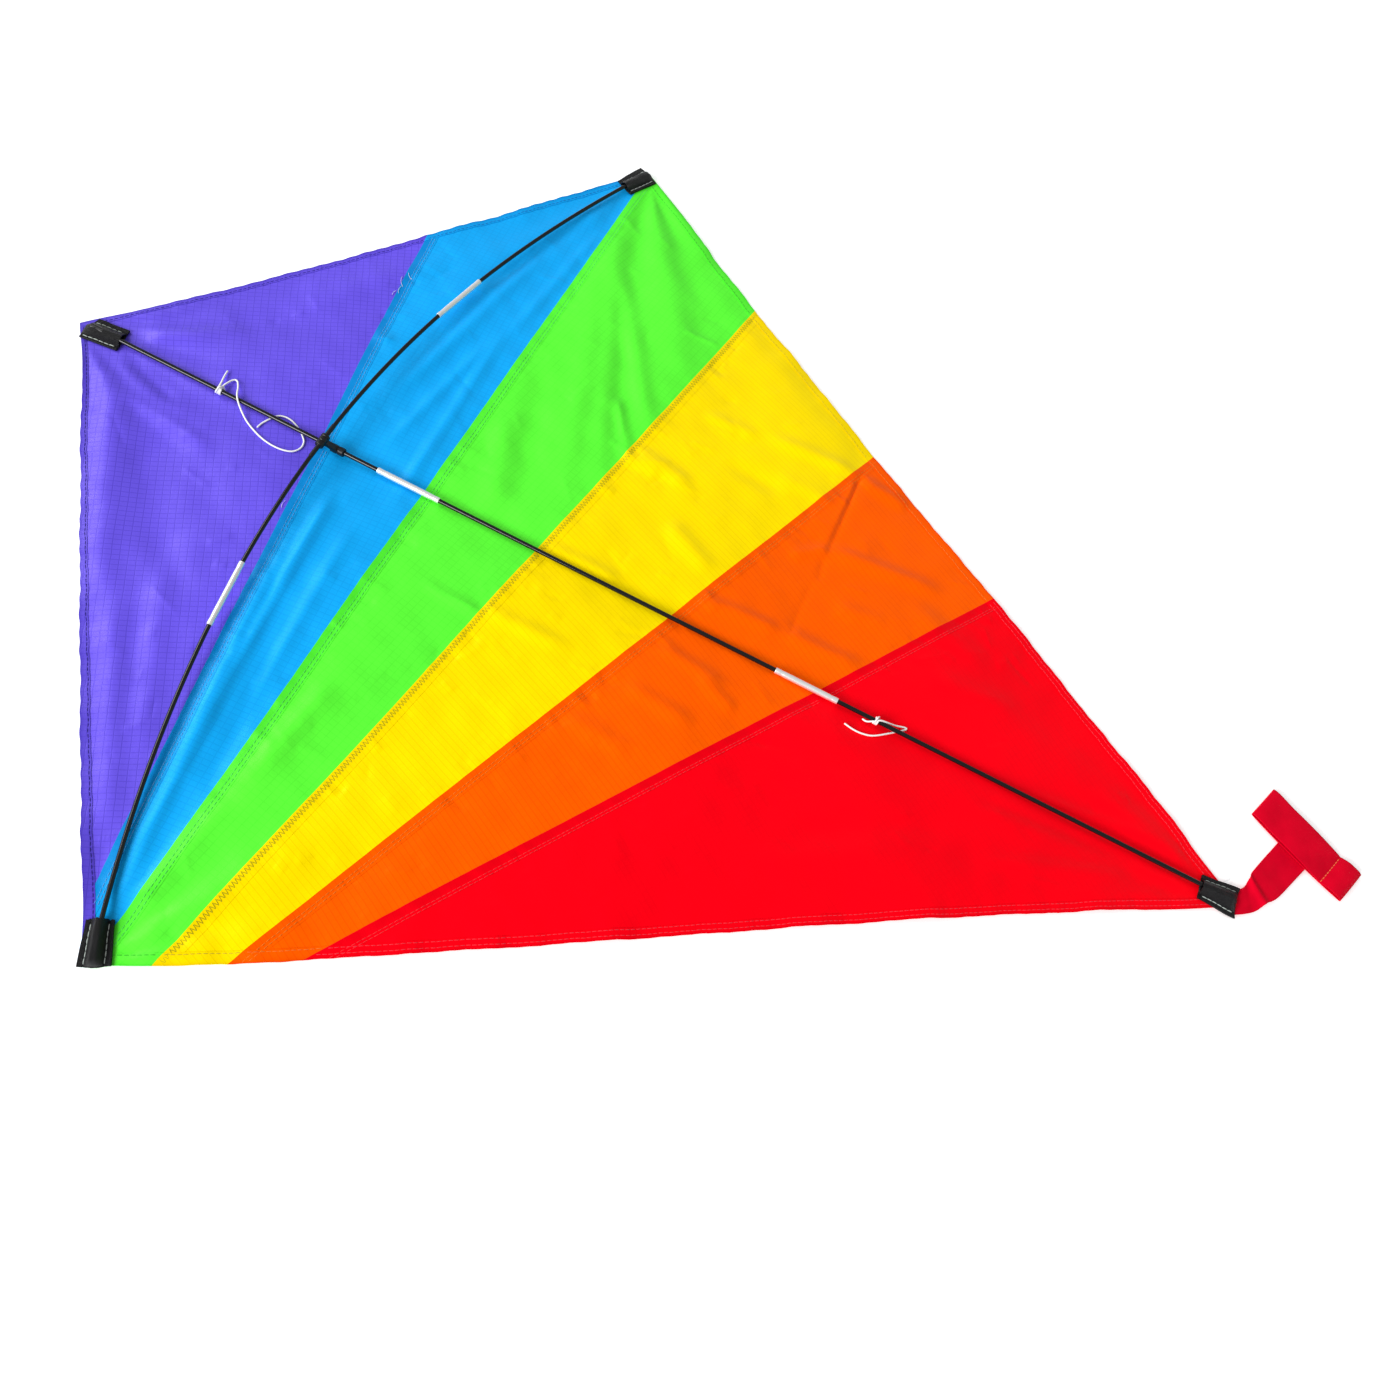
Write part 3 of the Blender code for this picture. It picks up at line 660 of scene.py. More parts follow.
def hem_places(side, edge, along, inward):
    """Return flat places at distances along an outer edge and in from it."""
    start, unit, _ = EDGES[edge]
    x = start[0] + along * unit[0] + inward * unit[1]
    y = start[1] + along * unit[1] - inward * unit[0]
    return np.stack((side * x, y), -1)


def hem_width(side, edge, along):
    """Return a hem's width at a distance along its edge."""
    return between(*HEM_WIDTHS[edge, side], along / EDGES[edge][2])


def hem_owner(index, side, edge):
    """Return the outline that carries a panel's hem, or nothing.

    The violet panel's hem runs on along the whole left leading edge.
    """
    if (side, edge) != (-1, "leading"):
        return panel_outline(index, side)
    return half_sail(side) if COLOURS[index] == "violet" else []


def hem_outline(index, side, edge):
    """Return the folded hem along a panel's part of an outer edge."""
    ends = (0.0, EDGES[edge][2])
    start, end = [hem_places(side, edge, at, hem_width(side, edge, at)) for at in ends]
    normal = (side * (end[1] - start[1]), side * (start[0] - end[0]))
    limit = normal[0] * start[0] + normal[1] * start[1]
    return clip(hem_owner(index, side, edge), normal, limit)


def heights_at(outline, x):
    """Return the lowest and highest y of a convex outline at x."""
    found = []
    for (x0, y0), (x1, y1) in zip(outline, outline[1:] + outline[:1]):
        if abs(x1 - x0) < 1e-9:
            if abs(x - x0) < 1e-7:
                found += [y0, y1]
        elif min(x0, x1) - 1e-7 <= x <= max(x0, x1) + 1e-7:
            found.append(between(y0, y1, min(max((x - x0) / (x1 - x0), 0.0), 1.0)))
    return min(found), max(found)


def fill_outline(outline, cell):
    """Return the places and quads of an even grid that fills a convex outline."""
    corners = sorted({round(x, 7) for x, _ in outline})
    columns = [corners[0]]
    for start, end in zip(corners, corners[1:]):
        if end - start > 1e-6:
            steps = max(1, math.ceil((end - start) / cell))
            columns += list(np.linspace(start, end, steps + 1)[1:])
    spans = [heights_at(outline, x) for x in columns]
    tallest = max(high - low for low, high in spans)
    rows = max(2, math.ceil(tallest / cell) + 1)
    share = np.linspace(0.0, 1.0, rows)
    places = [(x, between(low, high, t)) for x, (low, high) in zip(columns, spans) for t in share]
    return np.array(places), grid_faces(len(columns), rows)


def add_sheet(parts, outline, lift, thickness, layer=None):
    """Add one closed sheet of cloth that fills an outline and follows the sail.

    The layer is a function of x and y that says how dark the doubled cloth looks, with painted shade along
    the hems' folds.
    """
    if len(outline) < 3:
        return
    places, faces = fill_outline(outline, CELL)
    if (places.max(0) - places.min(0)).min() < 0.5 * MM:
        return
    top = on_sail(places[:, 0], places[:, 1], lift + thickness / 2)
    bottom = top - np.array((0.0, 0.0, thickness))
    count = len(places)
    a, b, c = top[list(faces[0][:3])]
    if np.cross(b - a, c - a)[2] < 0:
        faces = [face[::-1] for face in faces]
    rim = {}
    for face in faces:
        for a, b in zip(face, face[1:] + face[:1]):
            if (b, a) in rim:
                del rim[b, a]
            else:
                rim[a, b] = True
    shell = list(faces) + [tuple(i + count for i in face[::-1]) for face in faces]
    shell += [(b, a, a + count, b + count) for a, b in rim]
    depth = np.zeros(count) if layer is None else layer(places[:, 0], places[:, 1])
    parts.add(np.concatenate((top, bottom)), shell, np.tile(places, (2, 1)), np.tile(depth, 2))


def add_tube(parts, path, radius, sides=12, closed=False, twist=0.0, swell=0.0):
    """Add a closed tube that follows a path, with an optional braided swell."""
    path = np.asarray(path, float)
    count = len(path)
    if closed:
        tangent = np.roll(path, -1, 0) - np.roll(path, 1, 0)
    else:
        tangent = np.concatenate((path[1:], path[-1:])) - np.concatenate((path[:1], path[:-1]))
    tangent /= np.maximum(np.linalg.norm(tangent, axis=1, keepdims=True), 1e-12)
    normal = np.zeros_like(path)
    start = np.cross(tangent[0], (0.0, 0.0, 1.0))
    if np.linalg.norm(start) < 1e-6:
        start = np.array((1.0, 0.0, 0.0))
    normal[0] = start / np.linalg.norm(start)
    for i in range(1, count):
        carried = normal[i - 1] - tangent[i] * (normal[i - 1] @ tangent[i])
        normal[i] = carried / max(np.linalg.norm(carried), 1e-12)
    side = np.cross(tangent, normal)
    length = distances(path)[:, None]
    angle = circle(sides)[None, :]
    radii = np.broadcast_to(np.asarray(radius, float), (count,))[:, None] * np.ones(sides)
    if swell:
        radii = radii * (1 + swell * np.abs(np.sin(1.5 * angle + twist * length)))
        radii = radii / (1 + swell * 0.6)
    ring = np.cos(angle)[..., None] * normal[:, None, :] + np.sin(angle)[..., None] * side[:, None, :]
    points = path[:, None, :] + ring * radii[:, :, None]
    places = np.stack(np.broadcast_arrays(angle / (2 * np.pi), length), -1)
    parts.add(points, [face[::-1] for face in tube_faces(count, sides, closed)], places)


def smooth_path(points, step):
    """Return a smooth path through the points, by Catmull-Rom interpolation."""
    anchors = [np.asarray(point, float) for point in points]
    anchors = [anchors[0] * 2 - anchors[1]] + anchors + [anchors[-1] * 2 - anchors[-2]]
    path = []
    for before, start, end, after in zip(anchors, anchors[1:], anchors[2:], anchors[3:]):
        steps = max(2, math.ceil(np.linalg.norm(end - start) / step))
        for t in np.arange(steps) / steps:
            curve = 2 * start + (end - before) * t
            curve = curve + (2 * before - 5 * start + 4 * end - after) * t**2
            curve = curve + (3 * start - before - 3 * end + after) * t**3
            path.append(curve / 2)
    path.append(anchors[-2])
    return np.array(path)


# Materials, made from nodes.


class Finish:
    """A material's node tree, with short ways to add and join nodes."""

    def __init__(self, name, **look):
        self.material = bpy.data.materials.new(name)
        self.material.use_nodes = True
        self.tree = self.material.node_tree
        self.look(**look)

    def set(self, node, socket, value):
        """Give a node's input a value or another node's output."""
        target = node.inputs[socket]
        if isinstance(value, bpy.types.NodeSocket):
            self.tree.links.new(value, target)
        else:
            target.default_value = value

    def look(self, **inputs):
        """Set the shader's inputs, and return the material. A space is written _."""
        for name, value in inputs.items():
            self.set(self.tree.nodes["Principled BSDF"], name.replace("_", " "), value)
        return self.material

    def node(self, kind, output=0, settings=None, **inputs):
        """Add a node and return one of its outputs. A space in an input is written _."""
        made = self.tree.nodes.new(kind)
        for key, value in (settings or {}).items():
            setattr(made, key, value)
        for key, value in inputs.items():
            self.set(made, key.replace("_", " "), value)
        return made.outputs[output]

    def math(self, operation, a, b=0.0):
        """Return the result of an operation on one or two values."""
        made = self.tree.nodes.new("ShaderNodeMath")
        made.operation = operation
        self.set(made, 0, a)
        self.set(made, 1, b)
        return made.outputs[0]

    def times(self, a, b):
        """Return the product of two values."""
        return self.math("MULTIPLY", a, b)

    def mix(self, factor, a, b):
        """Return a colour between two colours."""
        made = self.tree.nodes.new("ShaderNodeMix")
        made.data_type = "RGBA"
        for socket, value in ((0, factor), (6, a), (7, b)):
            self.set(made, socket, value)
        return made.outputs[2]

    def split(self, vector):
        """Return the x and y of a vector."""
        made = self.tree.nodes.new("ShaderNodeSeparateXYZ")
        self.set(made, 0, vector)
        return made.outputs[:2]

    def places(self, scale=None, turn=0.0):
        """Return the flat places of a piece, stretched or turned if asked."""
        spot = self.node("ShaderNodeUVMap", settings={"uv_map": "flat"})
        if scale is not None:
            return self.node("ShaderNodeMapping", Vector=spot, Scale=scale)
        if turn:
            return self.node("ShaderNodeMapping", Vector=spot, Rotation=(0.0, 0.0, turn))
        return spot

    def noise(self, vector, scale, detail=3.0, roughness=0.5):
        """Return a noise value from 0 to 1."""
        return self.node(
            "ShaderNodeTexNoise", Vector=vector, Scale=scale, Detail=detail, Roughness=roughness
        )

    def remap(self, value, low, high, new_low=0.0, new_high=1.0):
        """Return a value moved from one range to another, and held inside it."""
        old = {"Value": value, "From_Min": low, "From_Max": high}
        return self.node("ShaderNodeMapRange", To_Min=new_low, To_Max=new_high, **old)

    def bump(self, height, distance, strength, under=None):
        """Return a normal bent by a height, over another normal if one is given."""
        inputs = {} if under is None else {"Normal": under}
        return self.node(
            "ShaderNodeBump", Height=height, Distance=distance, Strength=strength, **inputs
        )

    def wave(self, coordinate, pitch):
        """Return a sine wave across a coordinate."""
        return self.math("SINE", self.times(coordinate, 2 * math.pi / pitch))

    def lines(self, coordinate, pitch, width):
        """Return 1 on evenly spaced lines and 0 between them."""
        edge = math.cos(math.pi * width / pitch)
        return self.remap(self.wave(coordinate, pitch), edge, 1.0)


def shade(colour, factor=1.0):
    """Return a colour made lighter or darker, with its opacity."""
    return tuple(channel * factor for channel in colour) + (1.0,)


# Each cloth's grid of thicker yarns: its turn in degrees, then the strength of each way.
GRIDS = {
    "violet": (29.0, 0.40, 0.44),
    "blue": (5.0, 0.24, 0.20),
    "green": (-9.0, 0.16, 0.22),
    "yellow": (-22.0, 0.34, 0.08),
    "orange": (-28.0, 0.32, 0.10),
    "red": (-33.0, 0.16, 0.10),
}
GRID_PITCHES = (3.7 * MM, 5.0 * MM)
GRID_WIDTH = 0.8 * MM
YARN_PITCH = 0.5 * MM


def ripstop(name, colour, dark, gloss, grid):
    """Return nylon ripstop: a fine weave, a raised grid and slight unevenness.

    The gloss fades where the cloth is seen at a low angle.
    """
    finish = Finish(name)
    spot = finish.places()
    ways = finish.split(finish.places(turn=-math.radians(grid[0])))
    wobble = finish.times(finish.noise(spot, 35.0, detail=2.0), 0.9 * MM)
    yarns = [
        finish.times(finish.lines(finish.math("ADD", way, wobble), pitch, GRID_WIDTH), strength)
        for way, pitch, strength in zip(ways, GRID_PITCHES, grid[1:])
    ]
    yarns = finish.math("MAXIMUM", *yarns)
    weave = finish.times(*[finish.wave(way, YARN_PITCH) for way in ways])
    cloudy = finish.noise(spot, 9.0, detail=4.0)
    streaky = finish.noise(spot, 60.0, detail=5.0, roughness=0.6)
    tone = finish.mix(finish.remap(cloudy, 0.35, 0.65), shade(colour, 0.95), shade(colour, 1.03))
    speckle = finish.times(finish.remap(streaky, 0.4, 0.7), 0.10)
    # Darker doubled cloth, and painted shade along hem folds, from the layer attribute.
    layer = finish.node("ShaderNodeAttribute", output=2, settings={"attribute_name": "layer"})
    for share, darkness in ((speckle, 1.0), (yarns, 1.0), (layer, 0.9)):
        tone = finish.mix(share, tone, shade(dark, darkness))
    facing = finish.node("ShaderNodeLayerWeight", output=1)
    height = finish.math("ADD", finish.times(yarns, 2.2), finish.times(weave, 0.2))
    fine = finish.bump(height, 0.05 * MM, 0.8)
    return finish.look(
        Base_Color=tone,
        Specular_IOR_Level=finish.remap(facing, 0.40, 0.66, 0.5, 0.0),
        Specular_Tint=shade(gloss),
        Roughness=finish.remap(streaky, 0.3, 0.7, 0.30, 0.42),
        Normal=finish.bump(finish.noise(spot, 130.0, detail=2.0), 0.22 * MM, 0.5, under=fine),
    )


def fibreglass():
    """Return black pultruded rod: a semi-gloss skin with faint lengthwise streaks."""
    finish = Finish("fibreglass_rod", Specular_IOR_Level=0.42)
    streaks = finish.noise(finish.places(scale=(9.0, 5.0, 1.0)), 3.0)
    return finish.look(
        Base_Color=finish.mix(streaks, (0.001, 0.001, 0.001, 1.0), (0.004, 0.004, 0.005, 1.0)),
        Roughness=finish.remap(streaks, 0.3, 0.7, 0.10, 0.16),
        Normal=finish.bump(streaks, 0.01 * MM, 0.2),
    )


def polished_tube():
    """Return the ferrules' metal: bright, with fine marks round the tube."""
    finish = Finish("ferrule_metal_tube", Metallic=0.62)
    marks = finish.noise(finish.places(scale=(2.0, 500.0, 1.0)), 1.2)
    scuffs = finish.noise(finish.places(), 55.0, detail=4.0)
    return finish.look(
        Base_Color=finish.mix(marks, (0.88, 0.88, 0.87, 1.0), (0.97, 0.97, 0.96, 1.0)),
        Roughness=finish.remap(scuffs, 0.35, 0.7, 0.20, 0.34),
        Normal=finish.bump(marks, 0.01 * MM, 0.3),
    )


def moulded_plastic():
    """Return black moulded plastic with a fine satin grain."""
    finish = Finish("black_moulding", Specular_IOR_Level=0.36)
    spot = finish.node("ShaderNodeTexCoord", output=3)
    grain = finish.noise(spot, 2600.0, detail=2.0)
    wear = finish.noise(spot, 260.0, detail=4.0)
    return finish.look(
        Base_Color=finish.mix(wear, (0.002, 0.002, 0.003, 1.0), (0.009, 0.009, 0.010, 1.0)),
        Roughness=finish.remap(wear, 0.3, 0.7, 0.28, 0.44),
        Normal=finish.bump(grain, 0.05 * MM, 0.35),
    )


def webbing():
    """Return black polyester webbing: ribs along it and a tight cross weave, with painted shade in the
    weave's hollows.
    """
    finish = Finish("black_webbing_weave", Roughness=0.4, Specular_IOR_Level=0.26)
    spot = finish.places()
    x, y = finish.split(spot)
    weave = finish.times(finish.wave(x, 1.1 * MM), finish.wave(y, 0.7 * MM))
    fuzz = finish.noise(spot, 900.0)
    weave_hollow_shade = finish.remap(weave, -1.0, 1.0)
    # Painted shade: the weave's hollows are coloured darker than its crests.
    tone = finish.mix(weave_hollow_shade, (0.001, 0.001, 0.0015, 1.0), (0.006, 0.006, 0.007, 1.0))
    woven = finish.bump(weave, 0.16 * MM, 0.9)
    return finish.look(
        Base_Color=finish.mix(finish.times(fuzz, 0.3), tone, (0.012, 0.012, 0.014, 1.0)),
        Normal=finish.bump(fuzz, 0.1 * MM, 0.5, under=woven),
    )


def thread(name, colour, depth=0.82):
    """Return spun thread or braided line, with its strands winding round it and painted shade in the grooves
    between them.
    """
    finish = Finish(name, Roughness=0.75, Specular_IOR_Level=0.2)
    x, y = finish.split(finish.places())
    around = finish.times(x, 12 * math.pi)
    wound = finish.math("ADD", around, finish.times(y, 2 * math.pi / (0.9 * MM)))
    strands = finish.remap(finish.math("SINE", wound), -1.0, 1.0)
    return finish.look(
        # Painted shade: the grooves between strands are coloured darker; depth sets how dark.
        Base_Color=finish.mix(strands, shade(colour, depth), shade(colour)),
        Normal=finish.bump(strands, 0.08 * MM, 0.7),
    )


def ribbon_cloth():
    """Return the tail's red ribbon: plain cloth with a fine cross rib and soft creases, painted shade along
    the ribs and in the creases' hollows.
    """
    red = (0.70, 0.001, 0.018)
    finish = Finish("red_ribbon_cloth", Roughness=0.6, Specular_IOR_Level=0.12)
    spot = finish.places()
    ribs = finish.wave(finish.split(spot)[1], 0.8 * MM)
    cloudy = finish.noise(spot, 60.0, detail=4.0)
    # Uneven tone, and painted shade: the noise that bumps the soft creases also darkens their hollows.
    tone = finish.mix(finish.remap(cloudy, 0.3, 0.7), shade(red, 0.86), shade(red, 1.06))
    rib_shade = finish.times(finish.remap(ribs, -1.0, 1.0), 0.2)
    woven = finish.bump(ribs, 0.05 * MM, 0.6)
    return finish.look(
        Base_Color=finish.mix(rib_shade, tone, shade(red, 0.7)),
        Specular_Tint=(1.0, 0.05, 0.1, 1.0),
        Normal=finish.bump(cloudy, 0.8 * MM, 0.4, under=woven),
    )


# Linear colours: the cloth's own colour, its darker tone in the grid, seams and hems, also used for the
# painted shade along hem folds, and the tint of its gloss.
CLOTH_COLOURS = {
    "violet": ((0.134, 0.085, 0.76), (0.050, 0.028, 0.43), (0.5, 0.4, 1.0)),
    "blue": ((0.005, 0.385, 0.90), (0.001, 0.19, 0.58), (0.1, 0.7, 1.0)),
    "green": ((0.105, 0.94, 0.040), (0.035, 0.60, 0.014), (0.4, 1.0, 0.2)),
    "yellow": ((0.98, 0.740, 0.0), (0.76, 0.48, 0.0), (1.0, 0.9, 0.0)),
    "orange": ((0.98, 0.105, 0.0), (0.80, 0.040, 0.0), (1.0, 0.45, 0.0)),
    "red": ((0.98, 0.0005, 0.007), (0.70, 0.0, 0.006), (1.0, 0.01, 0.03)),
}
# The seam above each panel: how dark its lap is, then its thread.
SEAMS = {
    "blue": (0.72, (0.16, 0.52, 0.97)),
    "green": (0.50, (0.13, 0.80, 0.16)),
    "yellow": (0.16, (0.42, 0.42, 0.01)),
    "orange": (0.22, (0.90, 0.26, 0.02)),
    "red": (0.45, (0.95, 0.045, 0.06)),
}
HEM_THREADS = {
    "violet": (0.03, 0.018, 0.26),
    "blue": (0.02, 0.17, 0.55),
    "green": (0.05, 0.50, 0.03),
    "yellow": (0.70, 0.55, 0.02),
    "orange": (0.95, 0.24, 0.03),
    "red": (0.95, 0.05, 0.08),
}

cloths = {
    name: ripstop(f"{name}_ripstop_cloth", *CLOTH_COLOURS[name], GRIDS[name]) for name in COLOURS
}
rod_finish = fibreglass()
metal_finish = polished_tube()
plastic_finish = moulded_plastic()
webbing_finish = webbing()
grey_thread = thread("grey_pocket_thread", (0.50, 0.56, 0.52))
white_line = thread("white_braided_line", (0.97, 0.97, 0.95), depth=0.88)
orange_thread = thread("orange_ribbon_thread", (0.90, 0.22, 0.08))
fibre_finish = thread("loose_white_fibre", (0.85, 0.9, 0.95))
ribbon_finish = ribbon_cloth()


# The sail.


def lap_layer(index):
    """Return how dark a seam's lap looks: darkest by the seam, where three layers lie."""

    def layer(x, y):
        fade = 1 - 0.65 * smoothstep((seam_offset(index - 1, x, y) - 4 * MM) / (3 * MM))
        paler = np.where(x < 0, 1.0, 0.45) if COLOURS[index] == "green" else 1.0
        return SEAMS[COLOURS[index]][0] * paler * fade

    return layer


def hem_tone_and_fold_shade(side, edge):
    """Return how dark a hem looks: doubled cloth, painted shade along its rolled fold and, on the left, a
    darker band at its stitching.
    """

    def layer(x, y):
        inward, along = edge_place(edge, x, y)
        folded = np.maximum(inward, 0)
        # Painted shade: each hem darkens towards its rolled outer fold.
        if edge == "trailing":
            return 0.12 + 0.70 * np.exp(-folded / (1.2 * MM))
        if side > 0:
            return 0.08 + 0.80 * np.exp(-folded / (1.5 * MM))
        stitch_band = hill(inward - hem_width(side, edge, along) + 0.7 * MM, 0.8 * MM)
        return 0.33 + 0.5 * np.exp(-folded / (1.5 * MM)) + 0.38 * stitch_band

    return layer


def make_panel(index, side, side_name):
    """Make one half panel with its lapped seam and its folded hems."""
    colour = COLOURS[index]
    parts = MeshParts()
    add_sheet(parts, panel_outline(index, side), 0.0, CLOTH)
    if index > 0:
        add_sheet(parts, lap_outline(index, side), LAP_LIFT, 0.8 * CLOTH, lap_layer(index))
    for edge in EDGES:
        add_sheet(parts, hem_outline(index, side, edge), HEM_LIFT, CLOTH, hem_tone_and_fold_shade(side, edge))
    panel = parts.build(f"{colour}_cloth_{side_name}", cloths[colour], weld=0.02 * MM)
    stand_for(panel, f"{colour}_panel_{side_name}")
    bend_with_wing(panel)


def stitch_run(length, stitch, gap):
    """Return the start and end of each stitch along a row."""
    starts = np.arange(0.5 * gap, length - stitch, stitch + gap)
    return starts, starts + stitch


# The height and thickness of a stitch along it, as shares of its thread's radius.
STITCH_SHARE = np.array((0.0, 0.18, 0.5, 0.82, 1.0))
STITCH_RISE = np.array((-0.6, 0.45, 0.8, 0.45, -0.6))
STITCH_GIRTH = np.array((0.55, 0.95, 1.0, 0.95, 0.55))
STITCH_SIDES = 6


def add_stitches(parts, outline, start, end, lift, radius=THREAD_RADIUS):
    """Add stitches between pairs of flat places that are inside an outline.

    Each one rises from the cloth and dips back.
    """
    keep = inside(outline, start) & inside(outline, end)
    if not keep.any():
        return
    start = start[keep]
    run = end[keep] - start
    spots = start[:, None, :] + run[:, None, :] * STITCH_SHARE[None, :, None]
    centres = on_sail(spots[..., 0], spots[..., 1], lift + STITCH_RISE[None, :] * radius)
    length = np.linalg.norm(run, axis=1)
    across = np.stack((-run[:, 1] / length, run[:, 0] / length, np.zeros(len(run))), -1)
    angle = circle(STITCH_SIDES)
    ring = np.cos(angle)[None, :, None] * across[:, None, :]
    ring = ring + np.sin(angle)[None, :, None] * np.array((0.0, 0.0, 1.0))
    girth = STITCH_GIRTH[None, :, None, None] * radius
    points = centres[:, :, None, :] + ring[:, None, :, :] * girth
    down = (length[:, None] * STITCH_SHARE)[..., None]
    places = np.stack(np.broadcast_arrays(angle / (2 * np.pi), down), -1)
    template = tube_faces(len(STITCH_SHARE), STITCH_SIDES)
    size = len(STITCH_SHARE) * STITCH_SIDES
    faces = [tuple(i + size * n for i in face) for n in range(len(run)) for face in template]
    parts.add(points, faces, places)


def seam_length(index, side):
    """Return a seam's length from the spine to the outer edge."""
    on_seam = [
        x for x, y in lap_outline(index, side) if abs(seam_offset(index - 1, x, y)) < 0.01 * MM
    ]
    return abs(max(on_seam, key=abs)) / math.cos(SEAM_SLOPES[index - 1])


def seam_places(index, side, along, offset):
    """Return flat places at distances along a seam and offsets below it."""
    slope = SEAM_SLOPES[index - 1]
    along, offset = line_up(along, offset)
    x = side * along * math.cos(slope)
    y = NOSE_Y - SEAM_DROPS[index - 1] + x * math.tan(slope)
    return np.stack((x + offset * math.sin(slope), y - offset * math.cos(slope)), -1)


STITCH = 3.0 * MM
STITCH_GAP = 0.45 * MM
ZIGZAG_PITCH = 1.3 * MM
ZIGZAG_RADIUS = 0.15 * MM
ZIGZAG_OFFSETS = (0.9 * MM, 5.0 * MM)
# How far below each seam its rows of stitching run.
SEAM_ROWS = {
    "blue": (4.8 * MM, 6.9 * MM),
    "green": (4.6 * MM, 7.0 * MM),
    "orange": (4.4 * MM, 6.6 * MM),
    "red": (6.2 * MM, 8.0 * MM),
}


def inside(outline, places):
    """Return which places are inside a convex outline."""
    centre = np.mean(outline, axis=0)
    keep = np.ones(len(places), bool)
    for (x0, y0), (x1, y1) in zip(outline, outline[1:] + outline[:1]):
        edge = (places[:, 0] - x0) * (y1 - y0) - (places[:, 1] - y0) * (x1 - x0)
        centre_edge = (centre[0] - x0) * (y1 - y0) - (centre[1] - y0) * (x1 - x0)
        keep &= edge * centre_edge >= 0
    return keep


def finish_stitches(parts, name, colour):
    """Turn stitches of the sail into a piece with its own thread."""
    bend_with_wing(parts.build(name, thread(f"{name}_thread", colour)))


def make_seam_stitches(index, side, side_name):
    """Make the rows of stitching along a panel's upper seam."""
    colour = COLOURS[index]
    outline = panel_outline(index, side)
    length = seam_length(index, side)
    parts = MeshParts()
    lift = LAP_LIFT + CLOTH / 2
    if colour == "yellow":
        steps = np.arange(int((length - 2 * MM) / ZIGZAG_PITCH) + 1)
        offset = np.where(steps % 2 == 0, *ZIGZAG_OFFSETS)
        corners = seam_places(index, side, steps * ZIGZAG_PITCH, offset)
        add_stitches(parts, outline, corners[:-1], corners[1:], lift, ZIGZAG_RADIUS)
    for row in SEAM_ROWS.get(colour, ()):
        ends = [seam_places(index, side, at, row) for at in stitch_run(length, STITCH, STITCH_GAP)]
        add_stitches(parts, outline, *ends, lift)
    finish_stitches(parts, f"{colour}_seam_stitches_{side_name}", SEAMS[colour][1])


HEM_ROW_INSET = 1.2 * MM
RED_SECOND_ROW = 2.5 * MM


def make_hem_stitches(index, side, side_name):
    """Make the stitching along a panel's hems."""
    colour = COLOURS[index]
    parts = MeshParts()
    for edge, (_, _, length) in EDGES.items():
        outline = hem_owner(index, side, edge)
        if not outline:
            continue
        first, last = stitch_run(length, STITCH, STITCH_GAP)
        rows = [[hem_width(side, edge, along) - HEM_ROW_INSET for along in (first, last)]]
        if colour == "red":
            rows.append((RED_SECOND_ROW, RED_SECOND_ROW))
        for start_inset, end_inset in rows:
            start = hem_places(side, edge, first, start_inset)
            end = hem_places(side, edge, last, end_inset)
            add_stitches(parts, outline, start, end, HEM_LIFT + CLOTH / 2)
    if parts.count > 0:
        finish_stitches(parts, f"{colour}_hem_stitches_{side_name}", HEM_THREADS[colour])


# Loose ends of thread: x and drop of one end, length in mm, and direction in degrees.
LOOSE_FIBRES = (
    (160, 157, 9, 185), (152, 161, 7, 165), (166, 159, 6, 205),
    (146, 160, 5, 150), (-52, 193, 6, 160), (12, 885, 7, -70),
)


def make_loose_fibres(side, side_name):
    """Make the few loose ends of white thread by the seams of one wing."""
    parts = MeshParts()
    for x, drop, size, turn in LOOSE_FIBRES:
        if x * side > 0:
            t = np.linspace(0.0, 1.0, 12)
            bend = math.radians(turn) + 0.5 * t
            path_x = (x + size * t * np.cos(bend)) * MM
            path_y = NOSE_Y - drop * MM + size * t * np.sin(bend) * MM
            add_tube(parts, on_sail(path_x, path_y, HEM_LIFT + 0.3 * MM), 0.14 * MM, 6)
    bend_with_wing(parts.build(f"loose_fibres_{side_name}", fibre_finish))


for sail_side in SIDES:
    make_loose_fibres(*sail_side)
for panel_index in range(len(COLOURS)):
    for sail_side in SIDES:
        make_panel(panel_index, *sail_side)
        make_hem_stitches(panel_index, *sail_side)
        if panel_index > 0:
            make_seam_stitches(panel_index, *sail_side)


# Rods, ferrules and the cross fitting.


ROD_STEP = 6.0 * MM
BENT_ROD_STEP = 5.0 * MM
ROD_CHAMFER = 0.25 * MM


def make_rod(piece_name, path, radius, node, body=None):
    """Make a rod along a path for a CAD node, with a small chamfer on each end."""
    path = np.asarray(path, float)
    inner = [
        end + (following - end) / np.linalg.norm(following - end) * ROD_CHAMFER
        for end, following in ((path[0], path[1]), (path[-1], path[-2]))
    ]
    path = np.concatenate((path[:1], inner[:1], path[1:-1], inner[1:], path[-1:]))
    radii = np.full(len(path), radius)
    radii[[0, -1]] = radius - ROD_CHAMFER
    parts = MeshParts()
    add_tube(parts, path, radii, sides=32)
    rod = parts.build(piece_name, rod_finish, sharp=30)
    stand_for(rod, node, body)
    return rod


def spine_line(name):
    """Return the ends of the spine's centre line over a CAD node's length."""
    low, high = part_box(name)
    return np.array((0.0, high.y, SPINE_Z)), np.array((0.0, low.y, SPINE_Z))


def make_spine_rods():
    """Make the three sections of the spine."""
    for name in ("spine_nose_rod", "spine_middle_rod", "spine_tail_rod"):
        start, end = spine_line(name)
        steps = max(2, math.ceil(np.linalg.norm(end - start) / ROD_STEP))
        path = between(start, end, np.linspace(0.0, 1.0, steps + 1)[:, None])
        make_rod(f"{name}_section", path, SPINE_RADIUS, name, "frame")


